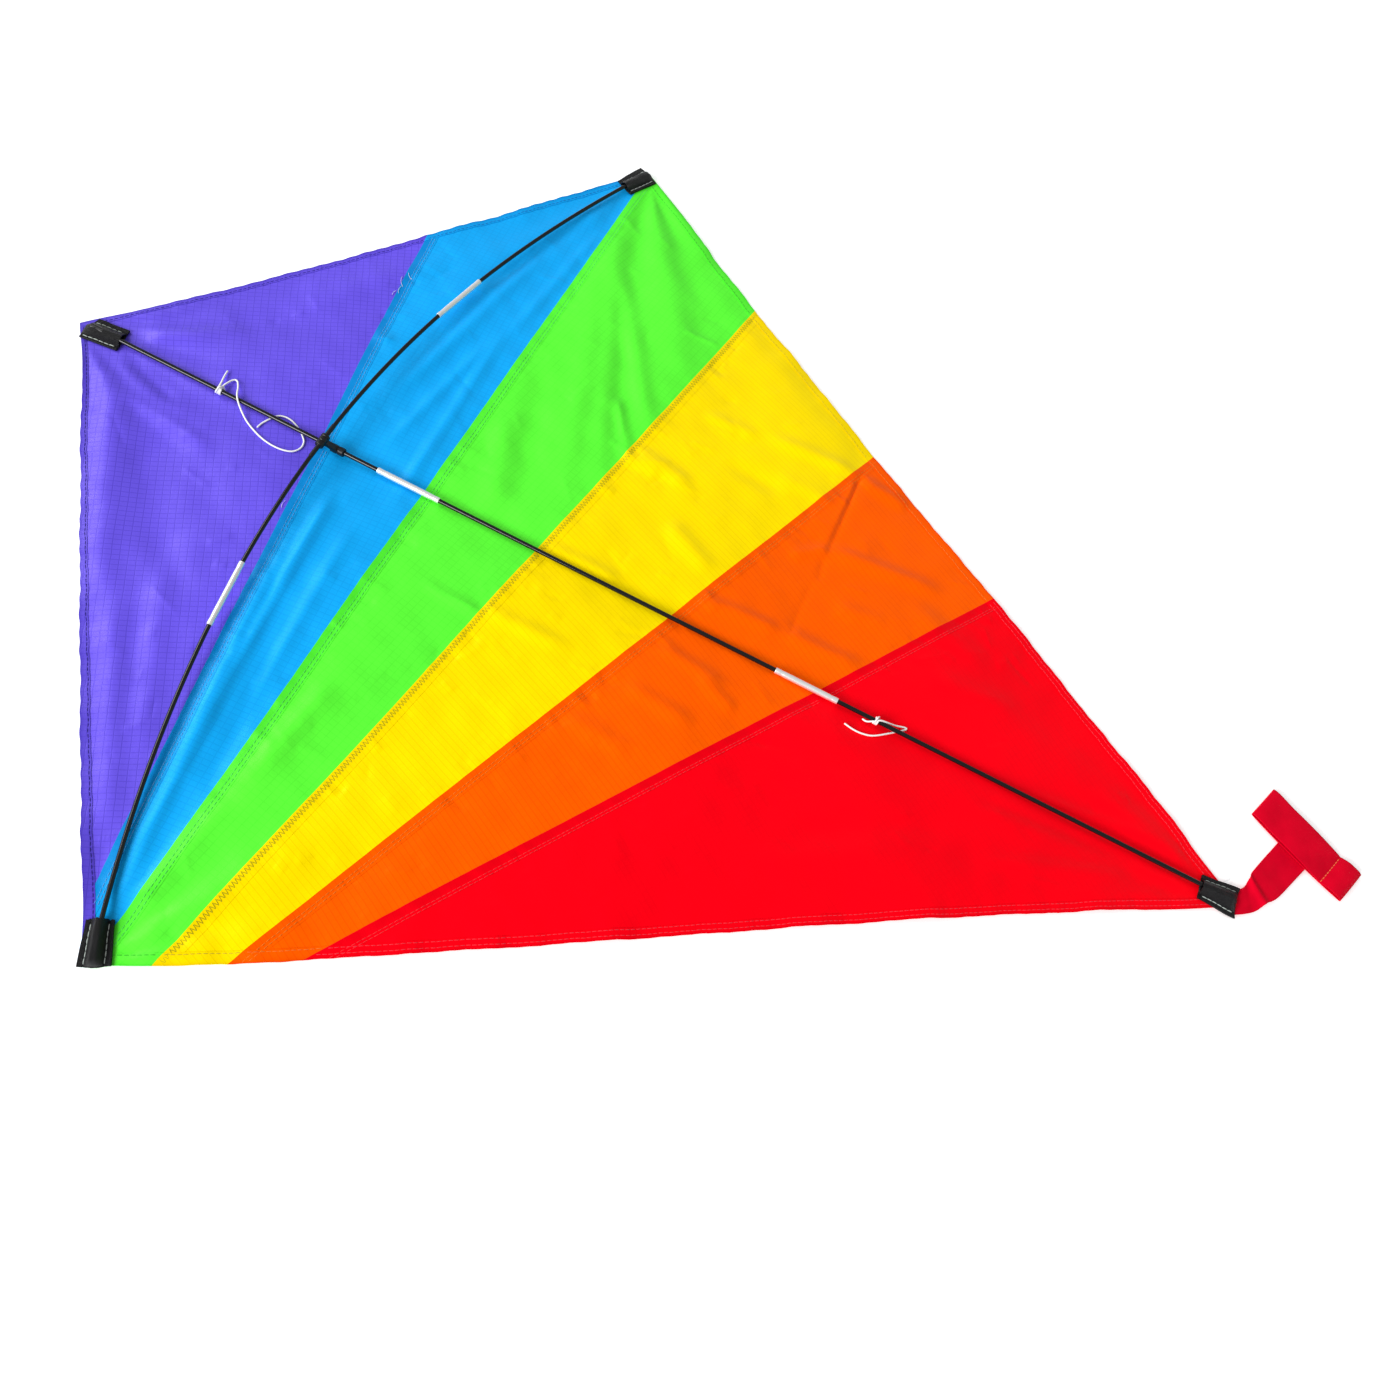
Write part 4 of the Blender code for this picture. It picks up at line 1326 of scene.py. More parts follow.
FERRULE_LENGTH = 0.048
FERRULE_WALL = 0.42 * MM
FERRULE_CLEARANCE = 0.16 * MM
FERRULE_LIP = 0.18 * MM
FERRULE_SIDES = 40
CRIMP_INSET = 5.0 * MM


def ferrule_ends(name):
    """Return the two points of the spreader's path where a ferrule ends."""
    low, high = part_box(name)
    centre_x = (low.x + high.x) / 2
    along = (spreader_point(centre_x + MM) - spreader_point(centre_x - MM)).normalized()
    half = FERRULE_LENGTH / 2 * along.x
    return np.array(spreader_point(centre_x - half)), np.array(spreader_point(centre_x + half))


def bent_path(first_x, last_x):
    """Return the spreader's curve between two values of x."""
    steps = max(1, math.ceil(abs(last_x - first_x) / BENT_ROD_STEP))
    return [np.array(spreader_point(x)) for x in np.linspace(first_x, last_x, steps + 1)]


def spreader_paths(side, side_name):
    """Return the paths of one side's outer and inner sections, which meet in its ferrule."""
    low, high = ferrule_ends(f"spreader_{side_name}_ferrule")
    middle = (low + high) / 2
    gap = np.array((ROD_END_GAP, 0.0, 0.0))
    first_x, last_x = sorted((0.0, side * SPREADER_END_X))
    paths = [bent_path(first_x, low[0]) + [middle - gap], [middle + gap] + bent_path(high[0], last_x)]
    return paths if side < 0 else paths[::-1]


def make_spreader():
    """Make the spreader: a section on each wing, and a middle in two halves."""
    for side, side_name in SIDES:
        node = f"spreader_{side_name}_rod"
        path = spreader_paths(side, side_name)[0]
        make_rod(f"{node}_section", path, SPREADER_RADIUS, node, f"{side_name}_wing")
    node = "spreader_center_rod"
    for side, side_name in SIDES:
        path = spreader_paths(side, side_name)[1]
        bend_with_wing(make_rod(f"{node}_{side_name}", path, SPREADER_RADIUS, node))


def make_ferrule(name, start, end, rod_radius, body):
    """Make one open metal tube with rounded lips and two shallow crimps."""
    length = float(np.linalg.norm(end - start))
    inner = rod_radius + FERRULE_CLEARANCE
    lips = np.array((0.0, 0.4 * FERRULE_LIP, FERRULE_LIP))
    stations = np.concatenate((lips, np.linspace(MM, length - MM, 47), length - lips[::-1]))
    inset = np.minimum(stations, length - stations)
    flat = 1 - np.minimum(inset / FERRULE_LIP, 1.0)
    rounding = FERRULE_LIP * (1 - np.sqrt(1 - flat**2))
    crimp = 0.16 * MM * hill(inset - CRIMP_INSET, 1.1 * MM)
    radii = inner + FERRULE_WALL - rounding - crimp
    radii = np.concatenate((radii, np.full_like(radii, inner)))
    stations = np.concatenate((stations, stations[::-1]))[:, None]
    along = (end - start) / length
    across = np.cross(along, (0.0, 0.0, 1.0))
    across /= np.linalg.norm(across)
    angle = circle(FERRULE_SIDES)
    ring = np.cos(angle)[:, None] * across + np.sin(angle)[:, None] * np.cross(across, along)
    points = start + along * stations[..., None] + ring[None, :, :] * radii[:, None, None]
    places = np.stack(np.broadcast_arrays(angle / (2 * np.pi), stations), -1)
    parts = MeshParts()
    parts.add(points, tube_faces(len(stations), FERRULE_SIDES, closed=True), places)
    stand_for(parts.build(f"{name}_tube", metal_finish, sharp=35), name, body)


def make_ferrules():
    """Make the four ferrules."""
    for name in ("spine_front_ferrule", "spine_rear_ferrule"):
        make_ferrule(name, *spine_line(name), SPINE_RADIUS, "frame")
    for _, side_name in SIDES:
        name = f"spreader_{side_name}_ferrule"
        start, end = ferrule_ends(name)
        middle = (start + end) / 2
        half = (end - start) / np.linalg.norm(end - start) * FERRULE_LENGTH / 2
        make_ferrule(name, middle - half, middle + half, SPREADER_RADIUS, f"{side_name}_wing")


SPINE_COLLAR_DROP = 0.2015
SPREADER_COLLAR_X = -4.5 * MM
COLLAR_LENGTH = 10.0 * MM
COLLAR_RADIUS = 3.1 * MM
COLLAR_RIM = 0.5 * MM
GROOVE_DEPTH = 0.42 * MM


def turned(name, profile, sides=64):
    """Return a solid turned about Z from a closed (radius, height) profile."""
    shape = bmesh.new()
    rings = [
        [shape.verts.new((radius * math.cos(a), radius * math.sin(a), z)) for a in circle(sides)]
        for radius, z in profile
    ]
    for ring, following in zip(rings, rings[1:] + rings[:1]):
        for i in range(sides):
            j = (i + 1) % sides
            shape.faces.new((ring[i], following[i], following[j], ring[j]))
    bmesh.ops.recalc_face_normals(shape, faces=shape.faces)
    return from_shape(name, shape)


def collar_profile(bore, grooves):
    """Return a collar's section: rounded rims, a bore, and grooves round its outside."""
    half = COLLAR_LENGTH / 2
    face = COLLAR_RADIUS - COLLAR_RIM
    floor = COLLAR_RADIUS - GROOVE_DEPTH
    profile = [(bore, -half), (face, -half), (COLLAR_RADIUS, -half + COLLAR_RIM)]
    for groove in grooves:
        for radius, offset in ((COLLAR_RADIUS, -0.55), (floor, -0.25), (floor, 0.25), (COLLAR_RADIUS, 0.55)):
            profile.append((radius, groove + offset * MM))
    return profile + [(COLLAR_RADIUS, half - COLLAR_RIM), (face, half), (bore, half)]


def facing(direction, position):
    """Return the matrix that turns +Z to a direction and moves to a position."""
    turn = Vector(direction).to_track_quat("Z", "Y").to_matrix().to_4x4()
    return Matrix.Translation(position) @ turn


def apply_modifiers(obj):
    """Put an object's modifiers into its mesh."""
    bpy.context.view_layer.update()
    evaluated = obj.evaluated_get(bpy.context.evaluated_depsgraph_get())
    mesh = bpy.data.meshes.new_from_object(evaluated)
    obj.modifiers.clear()
    obj.data = mesh


def join_solids(base, others, operation):
    """Join other solids to a base, or cut them away, and remove them."""
    for other in others:
        modifier = base.modifiers.new("solid", "BOOLEAN")
        modifier.operation = operation
        modifier.solver = "EXACT"
        modifier.object = other
        apply_modifiers(base)
        bpy.data.objects.remove(other, do_unlink=True)


def cylinder(name, radius, length, place):
    """Return a cylinder along the Z axis of a place."""
    shape = bmesh.new()
    bmesh.ops.create_cone(shape, cap_ends=True, segments=32, radius1=radius, radius2=radius, depth=length)
    solid = from_shape(name, shape)
    solid.matrix_world = place
    return solid


def flared_neck(length, place):
    """Return the fitting's neck: a flat bar along Z, wider at its lower end."""
    shape = bmesh.new()
    bmesh.ops.create_cube(shape, size=1.0)
    for vert in shape.verts:
        vert.co.x *= 5.4 * MM if vert.co.z < 0 else 4.0 * MM
        vert.co.y *= 2.4 * MM
        vert.co.z *= length
    neck = from_shape("neck", shape)
    neck.matrix_world = place
    return neck


def make_cross_fitting():
    """Make the moulded fitting: two collars, a flared neck, and a pin hole in the upper one."""
    lower = Vector((0.0, NOSE_Y - SPINE_COLLAR_DROP, SPINE_Z))
    upper = spreader_point(SPREADER_COLLAR_X)
    along = spreader_point(SPREADER_COLLAR_X + MM) - spreader_point(SPREADER_COLLAR_X - MM)
    reach = upper - lower
    lower_place = facing((0, 1, 0), lower)
    upper_place = facing(along, upper)
    lower_bore = SPINE_RADIUS + BORE_CLEARANCE
    upper_bore = SPREADER_RADIUS + BORE_CLEARANCE
    base = turned("cross_fitting_body", collar_profile(lower_bore, (0.0,)))
    base.matrix_world = lower_place
    top = turned("upper_collar", collar_profile(upper_bore, (-1.2 * MM, 2.4 * MM)))
    top.matrix_world = upper_place
    neck = flared_neck(reach.length - 3.4 * MM, facing(reach, (lower + upper) / 2))
    join_solids(base, [top, neck], "UNION")
    hole_place = facing((0, 0, 1), upper + Vector((0.0, 0.0, COLLAR_RADIUS)))
    bores = [
        cylinder("spine_bore", lower_bore, 30 * MM, lower_place),
        cylinder("spreader_bore", upper_bore, 30 * MM, upper_place),
        cylinder("pin_hole", 0.45 * MM, 3 * MM, hole_place),
    ]
    join_solids(base, bores, "DIFFERENCE")
    base.data.transform(base.matrix_world)
    base.matrix_world = Matrix.Identity(4)
    remesh = base.modifiers.new("mould", "REMESH")
    remesh.mode = "VOXEL"
    remesh.voxel_size = 0.16 * MM
    soften = base.modifiers.new("soften", "SMOOTH")
    soften.factor = 0.5
    soften.iterations = 5
    apply_modifiers(base)
    base.data.shade_smooth()
    base.data.materials.clear()
    base.data.materials.append(plastic_finish)
    stand_for(base, "cross_fitting", "frame")


make_spine_rods()
make_spreader()
make_ferrules()
make_cross_fitting()


# The corner pockets.


def moved(points, place):
    """Return points moved from a place's own axes to the scene's."""
    points = np.asarray(points).reshape(-1, 3)
    return points @ np.array(place.to_3x3()).T + np.array(place.translation)


def corner_matrix(closed, inward, turn):
    """Return a pocket's matrix: X across, Y up, Z from its closed end to its mouth."""
    z_axis = Vector((inward.x, inward.y, 0.0)).normalized()
    y_axis = Vector((0.0, 0.0, 1.0))
    axes = Matrix((y_axis.cross(z_axis), y_axis, z_axis)).transposed().to_4x4()
    half = Matrix.Translation((0.0, 0.0, POCKET_LENGTH / 2))
    turned_axes = half @ Matrix.Rotation(math.radians(turn), 4, "Y") @ half.inverted()
    return Matrix.Translation((closed.x, closed.y, POCKET_BASE_Z)) @ axes @ turned_axes


Pocket = namedtuple("Pocket", "body closed mouth row slants turn height growth fray")

# Heights of a pocket's under layer and flaps above its base, and the webbing's thickness.
UNDER_Z = 0.36 * MM
FLAP_Z = 1.05 * MM
WEBBING = 0.62 * MM
POCKET_STITCH = 3.5 * MM
POCKET_STITCH_GAP = 0.35 * MM
POCKET_THREAD_RADIUS = 0.34 * MM

# Each pocket in mm: half widths at its closed end and at its mouth (each as the two
# sides), the stitching's distance at those ends, and the slant of each side's end. Then
# its turn off the rod's line in degrees, its tunnel's height, the length over which the
# tunnel rises from the closed end, and how far the webbing frays.
POCKETS = {
    "nose": Pocket(
        "frame", (8.8, 10.0), (8.8, 10.0), (6.6, 6.4), (0.05, 0.62), 7.0, 4.3, 9.0, 0.12
    ),
    "tail": Pocket(
        "frame", (11.2, 11.4), (9.0, 9.0), (7.8, 6.1), (-0.06, -0.10), 2.0, 4.8, 5.0, 0.12
    ),
    "left_tip": Pocket(
        "left_wing", (9.3, 9.0), (7.6, 7.8), (5.5, 4.9), (0.16, 0.10), 5.0, 5.2, 3.6, 0.32
    ),
    "right_tip": Pocket(
        "right_wing", (10.6, 8.7), (8.6, 7.7), (5.8, 5.4), (0.16, 0.12), -3.0, 4.8, 4.5, 0.14
    ),
}


def along_pocket(closed, mouth, along):
    """Return a size between its values at a pocket's closed end and at its mouth."""
    return between(closed, mouth, smoothstep(np.asarray(along) / POCKET_LENGTH)) * MM


def webbing_top(pocket, across, along, phase):
    """Return the height of the upper webbing's middle: an arched tunnel between flat flaps."""
    row = along_pocket(*pocket.row, along)
    arch = np.cos(np.clip(across / (row - 0.4 * MM), -1, 1) * math.pi / 2) ** 0.8
    risen = np.clip(along / (pocket.growth * MM), 0, 1)
    rise = pocket.height * MM * np.sin(risen * math.pi / 2) ** 0.6
    past_row = np.abs(across) - row
    flap = np.clip(past_row / (3.3 * MM), 0, 1)
    curl = 0.34 * MM * flap**2 * (1 + np.sin(along / (4.2 * MM) + phase + np.sign(across)))
    dent = 0.34 * MM * hill(past_row, 0.75 * MM)
    ripple = 0.10 * MM * np.sin(along / (2.1 * MM) + 2.0 * across / (3 * MM) + phase)
    creases = 0.16 * MM * arch * np.sin(across / (0.62 * MM) + 1.2 * np.sin(along / (9 * MM) + phase))
    return FLAP_Z + arch * rise + curl - dent + ripple + creases


def pocket_line(pocket, x_share, phase):
    """Return one line of a pocket's webbing, from the mouth underneath to the mouth on top."""
    side = 0 if x_share < 0 else 1
    widths = (pocket.closed[side], pocket.mouth[side])
    start_x = x_share * widths[0] * MM
    start = pocket.slants[side] * max(abs(start_x) - 1.5 * MM, 0.0)
    length = POCKET_LENGTH - start
    under = np.linspace(1.0, 0.0, 22)[:-1]
    fold = np.linspace(-math.pi / 2, math.pi / 2, 9)
    over = np.linspace(0.0, 1.0, 70)[1:]
    radius = (float(webbing_top(pocket, start_x, 0.0, phase)) - UNDER_Z) / 2
    v_over = start + over * length
    v = np.concatenate((start + under * length, start - radius * np.cos(fold) * 0.8, v_over))
    x = x_share * along_pocket(*widths, v)
    z_over = webbing_top(pocket, x[-len(over):], v_over - start, phase)
    z = np.concatenate((np.full(len(under), UNDER_Z), UNDER_Z + radius * (1 + np.sin(fold)), z_over))
    fray = math.sin(start_x / (0.45 * MM)) + 0.8 * math.sin(start_x / (1.3 * MM) + phase)
    v = v + pocket.fray * MM * fray * smoothstep((v - start) / length * 4 - 3)
    return np.stack((x, z, v), -1), np.stack((x, np.arange(len(v)) * POCKET_LENGTH / 50), -1)


def make_pocket(name, place, phase):
    """Make one pocket: webbing folded over at its closed end and sewn down its sides."""
    pocket = POCKETS[name]
    lines = [pocket_line(pocket, share, phase) for share in np.linspace(-1.0, 1.0, 69)]
    points, flat = [np.array(part) for part in zip(*lines)]
    parts = MeshParts()
    parts.add(moved(points, place), grid_faces(*points.shape[:2]), flat)
    cloth = parts.build(f"{name}_pocket_webbing", webbing_finish, sharp=70)
    thicken(cloth, WEBBING)
    stand_for(cloth, f"{name}_pocket", pocket.body)


def make_pocket_stitches(name, place, side, side_name, phase):
    """Make one row of stitches along a pocket's flap."""
    pocket = POCKETS[name]
    slant = max(pocket.slants[0 if side < 0 else 1], 0.0) * (pocket.row[0] - 1.5) * MM
    row_length = POCKET_LENGTH - 2.0 * MM - slant
    parts = MeshParts()
    share = np.linspace(0.0, 1.0, 7)
    arch = np.sin(np.pi * share) ** 0.5
    for start, end in zip(*stitch_run(row_length, POCKET_STITCH, POCKET_STITCH_GAP)):
        v = slant + 1.0 * MM + between(start, end, share)
        x = side * along_pocket(*pocket.row, v) + 0.14 * MM * math.sin(start / (3.1 * MM) + phase)
        lift = WEBBING / 2 + POCKET_THREAD_RADIUS * (1.2 * arch - 0.6)
        z = webbing_top(pocket, x, v - slant, phase) + lift
        path = moved(np.stack((x, z, v), -1), place)
        add_tube(parts, path, POCKET_THREAD_RADIUS * (0.65 + 0.35 * arch), 8)
    stitches = parts.build(f"{name}_pocket_thread_{side_name}", grey_thread)
    stand_for(stitches, f"{name}_pocket_stitch_{side_name}", pocket.body)


def finish_end_cap(cap):
    """Give an end cap of the CAD model its plastic and softer edges."""
    cap.data.materials.clear()
    cap.data.materials.append(plastic_finish)
    edge = cap.modifiers.new("edge", "BEVEL")
    edge.width = 0.15 * MM
    edge.segments = 2
    edge.limit_method = "ANGLE"


for number, (corner, closed_end, inward_way) in enumerate(pocket_frames()):
    corner_place = corner_matrix(closed_end, inward_way, POCKETS[corner].turn)
    make_pocket(corner, corner_place, 1.7 * number)
    for flap_side in SIDES:
        make_pocket_stitches(corner, corner_place, *flap_side, 1.7 * number)
    finish_end_cap(frame["nodes"][f"{corner}_end_cap"])


# The bridle.


def string_piece(node, paths, body, closed=False):
    """Make a piece of braided line from one or more paths."""
    parts = MeshParts()
    for path in paths:
        radii = np.full(len(path), STRING_RADIUS)
        if not closed:
            radii[[0, -1]] *= 0.6
        add_tube(parts, path, radii, 12, closed, twist=2 * math.pi / (3.2 * MM), swell=0.10)
    stand_for(parts.build(f"{node}_line", white_line), node, body)


def round_spine(y, radius, angle):
    """Return points round the spine."""
    return np.stack((radius * np.sin(angle), y, SPINE_Z + radius * np.cos(angle)), -1)


def make_knot(node, turns):
    """Make a knot: turns of line round the spine, and one crossing turn over them."""
    low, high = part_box(node)
    middle = (low.y + high.y) / 2
    radius = SPINE_RADIUS + 0.1 * MM + STRING_RADIUS
    t = np.linspace(0.0, 1.0, 22 * turns + 1)
    coil = round_spine(middle + 1.05 * MM * turns * (0.5 - t), radius, 2 * math.pi * turns * t)
    t = np.linspace(0.0, 1.0, 26)
    outer = radius + 0.9 * MM * np.sin(np.pi * t) ** 0.5
    over = round_spine(middle + 1.9 * MM * (1 - 2 * t), outer, math.pi * (1.35 * t - 0.55))
    string_piece(node, [coil, over], "frame")


# The loose ends of the bridle line. Each point is its x, its drop and its height above
# the string's place on the sail, in mm. A point marked ROD is above the spine's centre.
ROD = "rod"
LOOSE_STRINGS = {
    "upper": (
        (
            (2.2, 108.6, 0.8, ROD), (6.5, 109.2, 2.2), (12.6, 110.8, 0.5), (13.4, 113.4, 0.4),
            (8.6, 117.6, 2.4), (1.0, 122.0, 2.44, ROD), (-4.6, 127.4, 1.04, ROD),
            (-10.4, 135.4, 0.8), (-14.2, 143.0, 0.0), (-17.6, 152.4, 0.0), (-19.0, 161.4, 0.0),
            (-18.4, 169.6, 0.0), (-15.6, 175.4, 0.0), (-10.4, 178.0, 0.0), (-5.4, 177.4, 0.0),
            (-1.6, 174.4, 0.0), (2.6, 168.4, 0.0), (5.4, 161.0, 0.0), (5.3, 155.2, 0.0),
            (2.8, 150.8, 0.0), (-3.4, 147.4, 0.0), (-7.6, 145.9, 0.0), (-12.0, 145.4, 0.4),
        ),
        ((1.7, 107.2, 1.5, ROD), (6.4, 106.2, 2.8), (12.2, 104.5, 1.4), (17.4, 103.4, 0.5)),
    ),
    "lower": (
        (
            (-1.6, 618.6, 1.0, ROD), (0.6, 622.4, 2.44, ROD), (4.2, 632.4, 1.8),
            (7.0, 640.0, 0.4), (6.6, 641.4, 0.2), (4.6, 639.6, 0.0), (-1.4, 632.6, 0.0),
            (-7.6, 625.4, 0.0), (-11.2, 619.6, 0.0), (-12.8, 612.4, 0.0), (-12.8, 606.6, 0.0),
            (-11.9, 600.2, 0.3),
        ),
        ((-1.8, 618.0, 1.4, ROD), (-3.4, 613.6, 2.6), (-2.6, 610.2, 1.6)),
    ),
}


def string_point(x, drop, above, base=None):
    """Return a point of a loose string, over the sail or over the spine."""
    x = x * MM
    y = NOSE_Y - drop * MM
    if base == ROD:
        return (x, y, SPINE_Z + above * MM)
    rest = CLOTH / 2 + STRING_RADIUS + 0.15 * MM
    return (x, y, SAIL_Z + float(sail_height(x, y)) + rest + above * MM)


def make_legs():
    """Make the bridle's two legs, which bow out a little, and its tow loop."""
    loop_low, loop_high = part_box("bridle_tow_loop")
    tow = np.array((loop_low.x, (loop_low.y + loop_high.y) / 2, loop_low.z + STRING_RADIUS))
    for node, sign in (("bridle_upper_leg", 1), ("bridle_lower_leg", -1)):
        low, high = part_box(node)
        start_y = high.y - STRING_RADIUS if sign > 0 else low.y + STRING_RADIUS
        start = np.array((low.x + STRING_RADIUS, start_y, tow[2]))
        end = tow + np.array((0.4 * MM, sign * 0.9 * MM, 0.0))
        t = np.linspace(0.0, 1.0, 260)[:, None]
        side = np.array((end[1] - start[1], start[0] - end[0], 0.0))
        side = side / np.linalg.norm(side)
        bow = (2.6 * MM + 0.8 * MM * np.sin(5 * np.pi * t)) * np.sin(np.pi * t)
        string_piece(node, [between(start, end, t) + side * bow * sign], "bridle")
    reach, half_width, _ = (loop_high - loop_low) / 2 - Vector((STRING_RADIUS,) * 3)
    angle = circle(72)
    x = loop_low.x + STRING_RADIUS + reach * (1 - np.cos(angle))
    width = half_width * np.sin(angle) * (0.45 + 0.55 * (1 - np.cos(angle)) / 2)
    loop = np.stack((x, tow[1] + width, np.full_like(x, tow[2])), -1)
    string_piece("bridle_tow_loop", [loop], "bridle", closed=True)


def make_bridle():
    """Make the knots, loose ends, legs and tow loop."""
    make_knot("bridle_upper_knot", 3)
    make_knot("bridle_lower_knot", 2)
    for name, ends in LOOSE_STRINGS.items():
        node = f"{name}_loose_string"
        paths = [smooth_path([string_point(*point) for point in end], 0.5 * MM) for end in ends]
        string_piece(node, paths, frame["nodes"][node]["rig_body"])
    make_legs()


make_bridle()


# The tail ribbon.


RIBBON_THICKNESS = 0.45 * MM
RIBBON_WIDTH = 29.0 * MM
RIBBON_ROWS = 110
RIBBON_COLUMNS = 36
# The strip's two edges: x, and y from the sail's tail, in mm.
RIBBON_EDGES = (
    (
        (9.0, 6.0), (13.5, 1.0), (18.0, -1.6), (25.0, -2.4),
        (33.0, -5.0), (56.0, -15.0), (63.3, -18.2),
    ),
    (
        (-8.5, 3.0), (-3.0, -6.0), (3.0, -13.0), (11.0, -18.0),
        (20.0, -25.5), (48.0, -39.0), (55.3, -42.4),
    ),
)


def ribbon_edge(points):
    """Return evenly spaced places along one edge of the strip."""
    path = smooth_path([(x * MM, TAIL_Y + y * MM, 0.0) for x, y in points], 0.8 * MM)
    length = distances(path)
    along = np.linspace(0.0, length[-1], RIBBON_ROWS)
    return np.stack([np.interp(along, length, path[:, axis]) for axis in (0, 1)], -1)[:, None, :]


def ribbon_piece(parts, name, node):
    """Turn a sheet into a piece of ribbon."""
    piece = parts.build(name, ribbon_finish, sharp=70)
    thicken(piece, RIBBON_THICKNESS)
    stand_for(piece, node, "tail_ribbon")


def make_ribbon():
    """Make the strip that leaves the tail pocket, folds over and rises to the loop."""
    t = np.linspace(0.0, 1.0, RIBBON_ROWS)[:, None]
    s = np.linspace(0.0, 1.0, RIBBON_COLUMNS)[None, :]
    flat = between(*[ribbon_edge(points) for points in RIBBON_EDGES], s[..., None])
    ridge = 1.9 * MM * hill(t - 0.30 - 0.05 * s, 0.040)
    swell = 1.1 * MM * hill(t - 0.46, 0.14) * (0.4 + 0.6 * s)
    sink = 0.4 * MM * hill(t - 0.21, 0.045)
    rise = (ridge + swell - sink) * smoothstep(t / 0.18) * smoothstep((1 - t) / 0.3)
    z = middle_z("tail_ribbon") - 0.05 * MM + rise
    places = np.stack(np.broadcast_arrays(s * RIBBON_WIDTH, t * 75 * MM), -1)
    parts = MeshParts()
    faces = grid_faces(RIBBON_ROWS, RIBBON_COLUMNS)
    parts.add(np.concatenate((flat, z[..., None]), -1), faces, places)
    ribbon_piece(parts, "tail_ribbon_strip", "tail_ribbon")


LOOP_LENGTH = 80.0 * MM
LOOP_HALF = LOOP_LENGTH / 2
LOOP_LOW = 0.35 * MM
LOOP_TILT = math.radians(22.6)
LOOP_STITCH_INSET = 17.0 * MM
LOOP_STITCH_Y = -LOOP_HALF + LOOP_STITCH_INSET
LOOP_THREAD_RADIUS = 0.3 * MM


def loop_top(along):
    """Return the height of the upper layer's middle: pinched at the stitching, full at the ends."""
    short = np.clip((LOOP_STITCH_Y - along) / LOOP_STITCH_INSET, 0, 1)
    long = np.clip((along - LOOP_STITCH_Y) / (LOOP_LENGTH - LOOP_STITCH_INSET), 0, 1)
    small_swell = 2.6 * MM * np.sin(np.pi * short) ** 0.8 + 1.2 * MM * smoothstep((short - 0.6) / 0.4)
    large_swell = 3.0 * MM * np.sin(np.pi * long) ** 0.7 + 1.6 * MM * smoothstep((long - 0.7) / 0.3)
    return 1.15 * MM + small_swell + large_swell


def loop_end(end, first_angle):
    """Return a round end of the loop, from one of its layers to the other."""
    radius = (loop_top(end) - LOOP_LOW) / 2
    angle = np.linspace(first_angle, first_angle + math.pi, 12)[1:-1]
    return np.stack((end + 1.1 * radius * np.cos(angle), LOOP_LOW + radius * (1 + np.sin(angle))), -1)


def loop_bow(along):
    """Return how far the loop curves sideways."""
    return 1.6 * MM * (along / LOOP_HALF) ** 2 - 0.8 * MM


def loop_curl(across):
    """Return how far the upper layer's edges curl down."""
    return 0.5 * MM * (across / (RIBBON_WIDTH / 2)) ** 2


def make_loop_cloth(place):
    """Make the flattened loop of ribbon at the strip's end."""
    y = np.linspace(-LOOP_HALF, LOOP_HALF, 90)
    under = LOOP_LOW + 0.3 * MM * np.sin(np.pi * (y + LOOP_HALF) / LOOP_LENGTH)
    front = loop_end(LOOP_HALF, -math.pi / 2)
    over = np.stack((y[::-1], loop_top(y[::-1])), -1)
    back = loop_end(-LOOP_HALF, math.pi / 2)
    ring = np.concatenate((np.stack((y, under), -1), front, over, back))
    x = np.linspace(-RIBBON_WIDTH / 2, RIBBON_WIDTH / 2, 37)[:, None]
    along, height = ring.T
    curl = loop_curl(x) * (height > LOOP_LOW + 0.5 * MM)
    points = np.stack(np.broadcast_arrays(x + loop_bow(along), along, height - curl), -1)
    flat = np.stack(np.broadcast_arrays(x, distances(ring)), -1)
    parts = MeshParts()
    parts.add(moved(points, place), grid_faces(*points.shape[:2], wrap=True), flat)
    ribbon_piece(parts, "tail_ribbon_loop_cloth", "tail_ribbon_loop")


def make_loop_stitches(place):
    """Make the line of stitching that closes the loop."""
    parts = MeshParts()
    share = np.linspace(0.0, 1.0, 7)
    for start, end in zip(*stitch_run(RIBBON_WIDTH - 1.6 * MM, 2.4 * MM, 0.5 * MM)):
        x = -RIBBON_WIDTH / 2 + 0.8 * MM + between(start, end, share)
        lift = LOOP_THREAD_RADIUS * (1.35 * np.sin(np.pi * share) ** 0.6 - 0.7)
        z = loop_top(LOOP_STITCH_Y) + RIBBON_THICKNESS / 2 - loop_curl(x) + lift
        path = np.stack((x + loop_bow(LOOP_STITCH_Y), np.full(len(x), LOOP_STITCH_Y), z), -1)
        girth = LOOP_THREAD_RADIUS * (0.6 + 0.4 * np.sin(np.pi * share) ** 0.5)
        add_tube(parts, moved(path, place), girth, 8)
    stitches = parts.build("tail_ribbon_thread", orange_thread)
    stand_for(stitches, "tail_ribbon_stitch", "tail_ribbon")


def make_ribbon_loop():
    """Make the loop on its own axes: X across it and Y along it, from its underside."""
    low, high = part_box("tail_ribbon_loop")
    middle = (low + high) / 2
    turn = Matrix.Rotation(-LOOP_TILT, 4, "Z")
    place = Matrix.Translation((middle.x, middle.y, low.z)) @ turn
    make_loop_cloth(place)
    make_loop_stitches(place)


make_ribbon()
make_ribbon_loop()


# Floor, light and camera.


LAMP_DISTANCE = 6.0
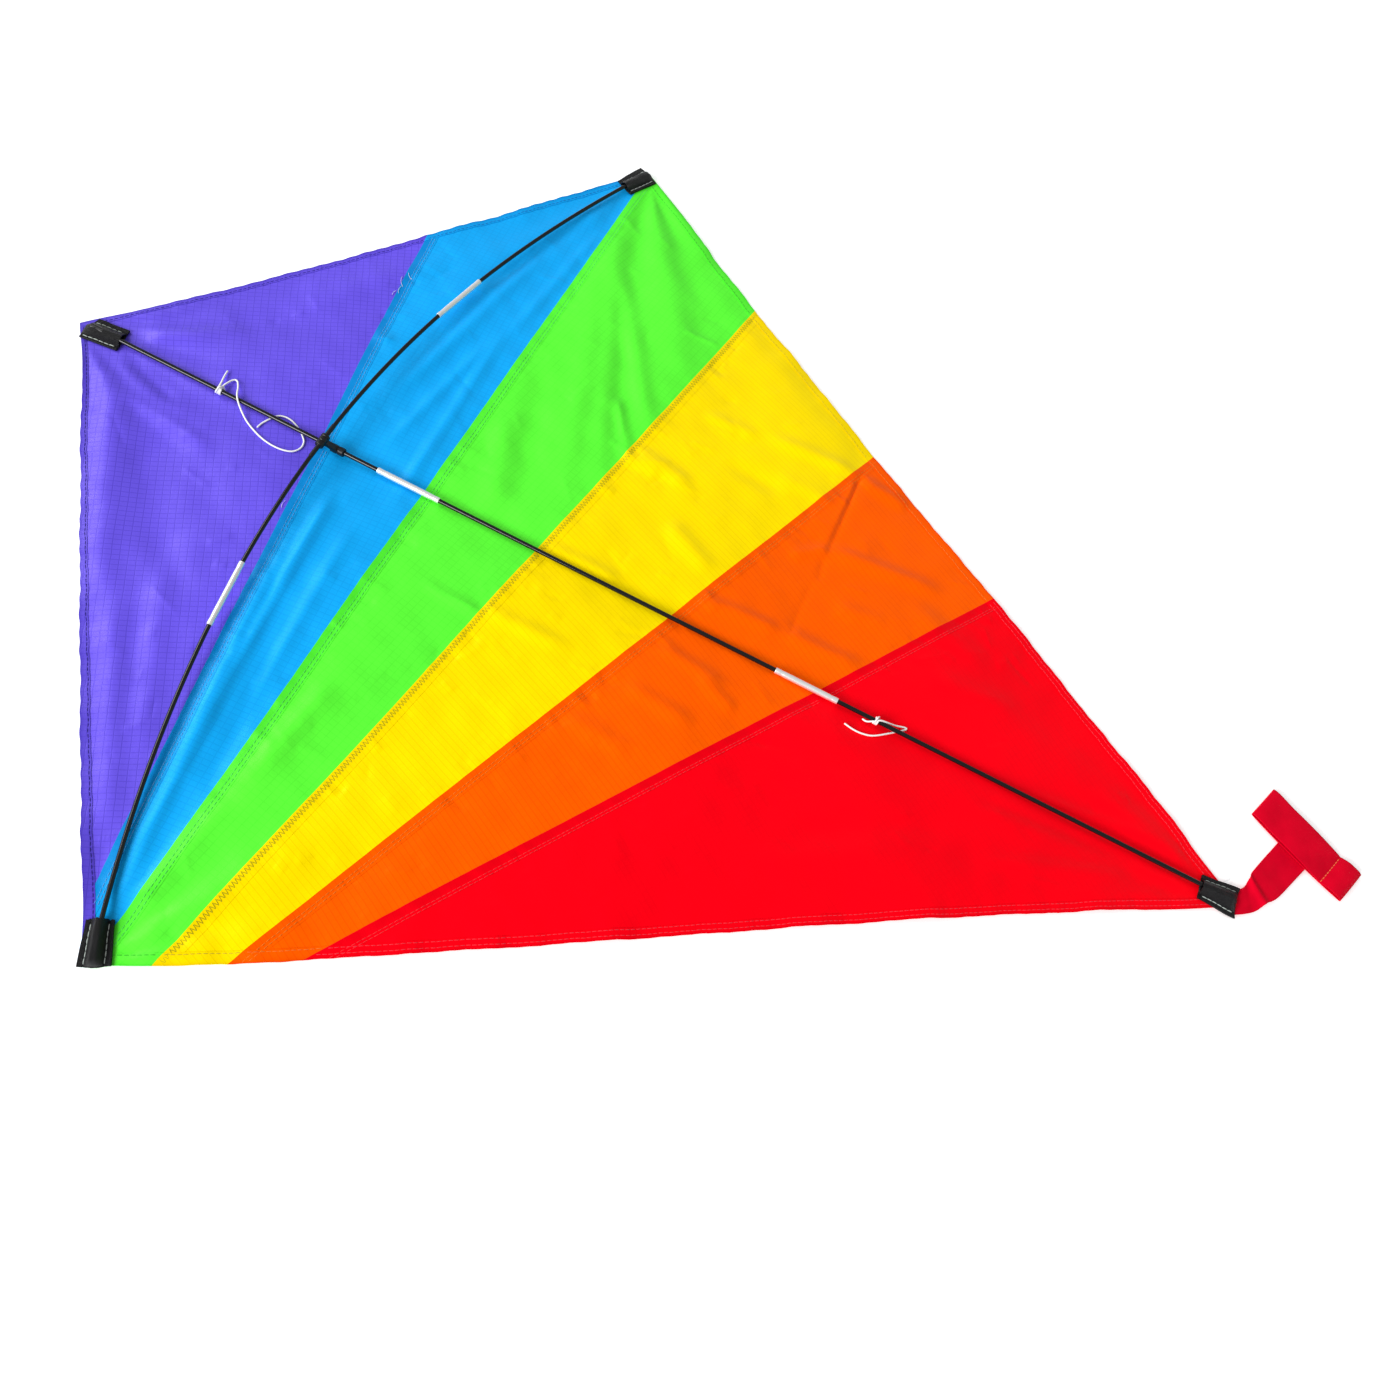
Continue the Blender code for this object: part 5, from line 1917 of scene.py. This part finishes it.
# Each soft lamp: the direction it stands in, its size in metres and its power in watts.
STUDIO_LAMPS = (
    ("key", (-0.74, 0.45, 0.50), 3.5, 350.0),
    ("fill", (0.10, 0.78, 0.62), 3.0, 150.0),
)
WHITE = (1.0, 1.0, 1.0, 1.0)
SKY = 0.42
FLOOR_GLOW = 0.25
CAMERA_PLACE = (-0.3954, -0.0287, 0.7275)
CAMERA_RIGHT = (0.4108, -0.8929, 0.1844)
CAMERA_DOWN = (-0.8011, -0.4501, -0.3946)
CAMERA_LENS = 30.55


def make_floor():
    """Make the pale floor."""
    finish = Finish("floor_white", Roughness=0.9, Specular_IOR_Level=0.0)
    finish.look(Base_Color=WHITE, Emission_Color=WHITE, Emission_Strength=FLOOR_GLOW)
    shape = bmesh.new()
    bmesh.ops.create_grid(shape, x_segments=1, y_segments=1, size=8.0)
    floor = from_shape("floor", shape)
    floor.data.materials.append(finish.material)
    floor.location = (0.0, 0.0, cad_low.z - 0.2 * MM)


def make_light():
    """Make the studio light: a white sky and two large soft lamps."""
    world = bpy.data.worlds.new("studio")
    bpy.context.scene.world = world
    world.use_nodes = True
    background = world.node_tree.nodes["Background"]
    background.inputs["Color"].default_value = WHITE
    background.inputs["Strength"].default_value = SKY
    for name, towards, size, power in STUDIO_LAMPS:
        lamp = bpy.data.lights.new(name, "AREA")
        lamp.shape = "DISK"
        lamp.size = size
        lamp.energy = power
        holder = new_object(name, lamp)
        direction = Vector(towards).normalized()
        holder.location = direction * LAMP_DISTANCE
        holder.rotation_mode = "QUATERNION"
        holder.rotation_quaternion = direction.to_track_quat("Z", "Y")


def make_camera():
    """Make the camera, close over the left wing, with the nose at the picture's left."""
    data = bpy.data.cameras.new("camera")
    data.lens = CAMERA_LENS
    data.sensor_width = 36.0
    data.clip_start = 0.01
    camera = new_object("camera", data)
    right = Vector(CAMERA_RIGHT).normalized()
    down = Vector(CAMERA_DOWN)
    down = (down - right * down.dot(right)).normalized()
    turn = Matrix((right, -down, -right.cross(down))).transposed()
    camera.matrix_world = Matrix.Translation(CAMERA_PLACE) @ turn.to_4x4()
    bpy.context.scene.camera = camera


make_floor()
make_light()
make_camera()
bpy.context.scene.view_settings.view_transform = "Standard"
bpy.context.scene.view_settings.look = "None"
